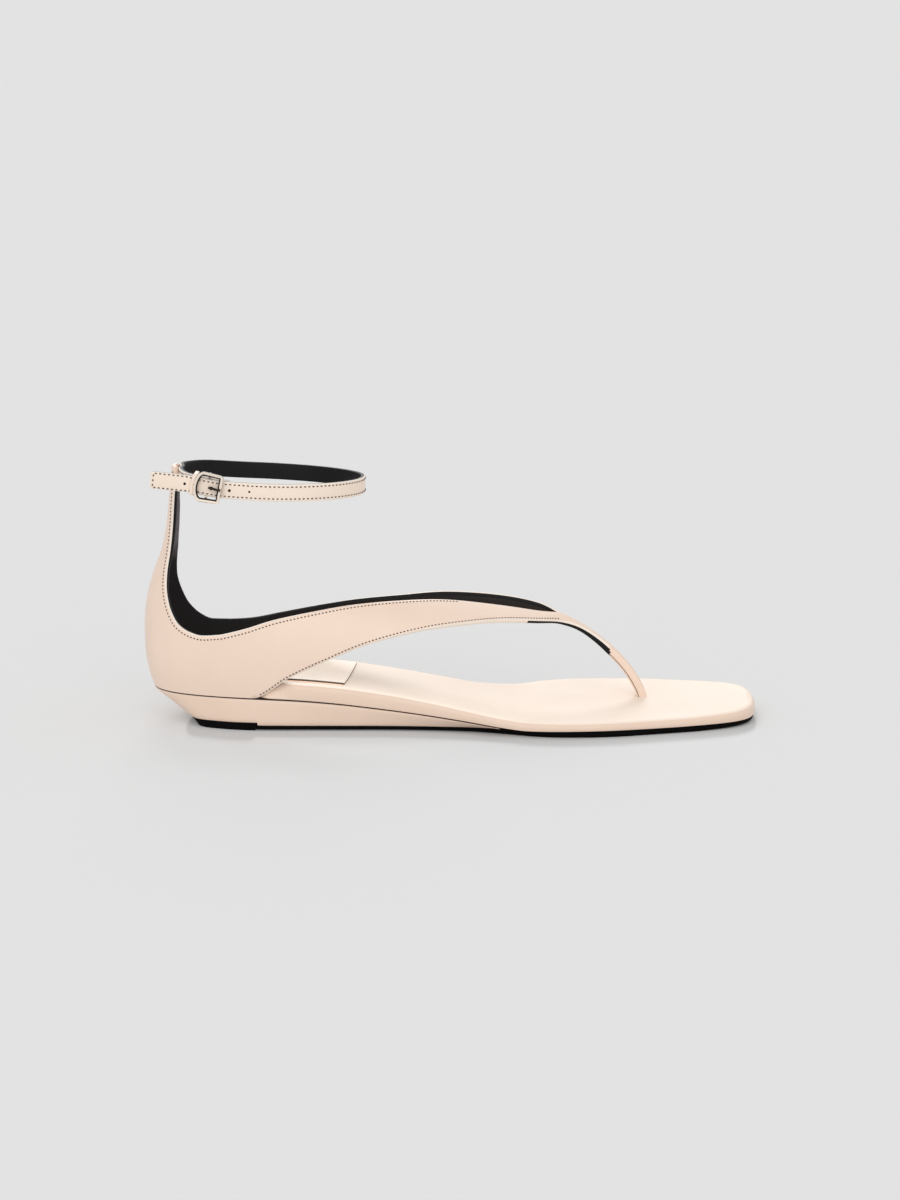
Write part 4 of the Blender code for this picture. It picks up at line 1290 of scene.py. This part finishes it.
def make_keeper(leather, edge):
    """A leather loop round both layers of the strap, bowed round the buckle's back."""
    half_height = STRAP_WIDTH / 2 + KEEPER_ROOM + KEEPER_WALL / 2
    middle = (KEEPER_OUTSIDE + KEEPER_INSIDE) / 2
    half_depth = (KEEPER_INSIDE - KEEPER_OUTSIDE) / 2 + KEEPER_WALL / 2
    loop = []
    for depth, up in rounded_rectangle(half_depth, half_height, KEEPER_CORNER, KEEPER_CORNER_STEPS):
        place = buckle_place(KEEPER_ALONG + KEEPER_BOW * (up / half_height) ** 2, 0.0, up)
        loop.append(Vector((place.x, middle + depth, place.z)))
    loop = even_spacing(loop + [loop[0]], KEEPER_STEPS)[:-1]
    run = buckle_place(1.0, 0.0, 0.0) - buckle_place(0.0, 0.0, 0.0)
    section = rounded_rectangle(KEEPER_WALL / 2, KEEPER_WIDTH / 2, KEEPER_ROUND)
    points, faces = swept(loop, section, closed=True, across=run)
    size = len(section)
    rim = KEEPER_WIDTH / 2 - KEEPER_EDGE
    kinds = [EDGE if min(abs(section[n % size][1]) for n in face) > rim else LEATHER for face in faces]
    return make_piece("keeper_leather", points, faces, [leather, edge], "strap_keeper",
                      "keeper_leather", kinds)


# Stage

def make_floor(paper):
    """Wide pale floor that runs out of sight behind the sandal."""
    mesh = bpy.data.meshes.new("studio_floor")
    mesh.from_pydata(FLOOR_CORNERS, [], [range(len(FLOOR_CORNERS))])
    mesh.materials.append(paper)
    floor = linked("studio_floor", mesh)
    return floor


def turned_along(direction):
    """The turn that points a light or a camera along a direction."""
    return Vector(direction).to_track_quat("-Z", "Y").to_euler()


def add_sun(sun):
    """Even light that falls along a direction, soft by its spread."""
    light = bpy.data.lights.new(sun.name, "SUN")
    light.angle = math.radians(sun.spread)
    light.energy = sun.strength
    thing = linked(sun.name, light)
    thing.rotation_euler = turned_along(sun.direction)
    return thing


def group_of(name, things):
    group = bpy.data.collections.new(name)
    for thing in things:
        group.objects.link(thing)
    return group


def make_stage(soles):
    """Pale floor, soft light and camera. The skimming sun draws the contact shadow on the floor alone."""
    scene = bpy.context.scene
    floor = make_floor(plain_floor("studio_paper"))
    world = bpy.data.worlds.new("studio")
    world.use_nodes = True
    world.node_tree.nodes["Background"].inputs["Color"].default_value = (*(BACKGROUND,) * 3, 1.0)
    scene.world = world
    add_sun(FRONT_SUN)
    add_sun(BACK_SUN)
    skimming = add_sun(SKIMMING_SUN)
    skimming.light_linking.receiver_collection = group_of("lit_by_skimming", [floor])
    skimming.light_linking.blocker_collection = group_of("shading_skimming", soles)
    scene.view_settings.view_transform = "Standard"
    camera = bpy.data.cameras.new("camera")
    camera.lens = CAMERA_LENS
    camera.sensor_width = CAMERA_SENSOR
    eye = linked("camera", camera)
    eye.location = CAMERA_PLACE
    eye.rotation_euler = turned_along(Vector(CAMERA_AIM) - eye.location)
    scene.camera = eye


nude = smooth_leather("nude_leather", (0.885, 0.70, 0.577), (0.82, 0.63, 0.507))
strap_nude = smooth_leather("strap_leather", (0.92, 0.775, 0.655), (0.86, 0.71, 0.585))
wedge_nude, band_nude = (smooth_leather(name, (0.84, 0.655, 0.53), (0.78, 0.595, 0.47))
                         for name in ("wedge_leather", "band_leather"))
# The insole and the heel patch carry a painted glow that lights the shade under the straps.
cream = smooth_leather("cream_leather", (0.93, 0.79, 0.675), (0.89, 0.745, 0.625), rough=0.56, painted_glow_strength=0.2)
sock = smooth_leather("sock_leather", (0.93, 0.8, 0.685), (0.89, 0.755, 0.64), rough=0.5, painted_glow_strength=0.36)
pale_edge = edge_paint("pale_edge", (0.90, 0.80, 0.70))
lining = dark_lining("black_lining", (0.0055, 0.0048, 0.005), nap=0.03, rough=0.45)
heel_grip = dark_lining("heel_grip", (0.009, 0.0083, 0.0086), nap=0.12, rough=0.8,
                        high_colour=(0.145, 0.132, 0.136))
# Dark edge of the heel patch: a seam line with painted shade along it.
sock_edge_seam_and_shade = edge_paint("sock_edge_seam_and_shade", (0.1, 0.07, 0.05))
# Dark glue line with painted shade for the wedge seam; also the dark line on the toe post.
dark_seam_and_shade = dark_lining("dark_seam_and_shade", (0.03, 0.02, 0.016), nap=0.03, rough=0.7)
hole_wall = dark_lining("hole_wall", (0.05, 0.035, 0.028), nap=0.05, rough=0.7)
rubber = black_rubber("black_rubber")
gold = pale_gold("pale_gold", (1.0, 0.89, 0.78), (0.9, 0.78, 0.66))
# Painted shade and painted dark reflection: a dark copy of the gold for the buckle's walls and the prong.
painted_shade_gold = pale_gold("painted_shade_gold", (0.07, 0.055, 0.042), (0.03, 0.024, 0.018))
thread = sewing_thread("brown_thread")

coarse = [sole_side(OUTER_EDGE, INNER_EDGE), sole_side(INNER_EDGE, OUTER_EDGE)]
sole_sides = [finer_side(coarse[0], coarse[1]), finer_side(coarse[1], coarse[0])]
soles = [make_outsole(sole_sides, rubber), make_top_piece(sole_sides, rubber)]
make_wedge(sole_sides, wedge_nude)
make_feather_seam(sole_sides, dark_seam_and_shade)
make_insole(sole_sides, cream, band_nude)
make_sock(sole_sides, sock, sock_edge_seam_and_shade)
upper_finishes = [nude, pale_edge, lining, heel_grip, dark_seam_and_shade]
make_stitches("upper_stitches", make_upper(sole_sides, upper_finishes), thread, UPPER_PITCH)
make_ankle_strap(strap_nude, pale_edge, lining, hole_wall, thread)
make_buckle(gold, painted_shade_gold)
# The prong is painted all in the dark gold, as shade.
make_prong(painted_shade_gold)
make_keeper(strap_nude, pale_edge)
make_stage(soles)
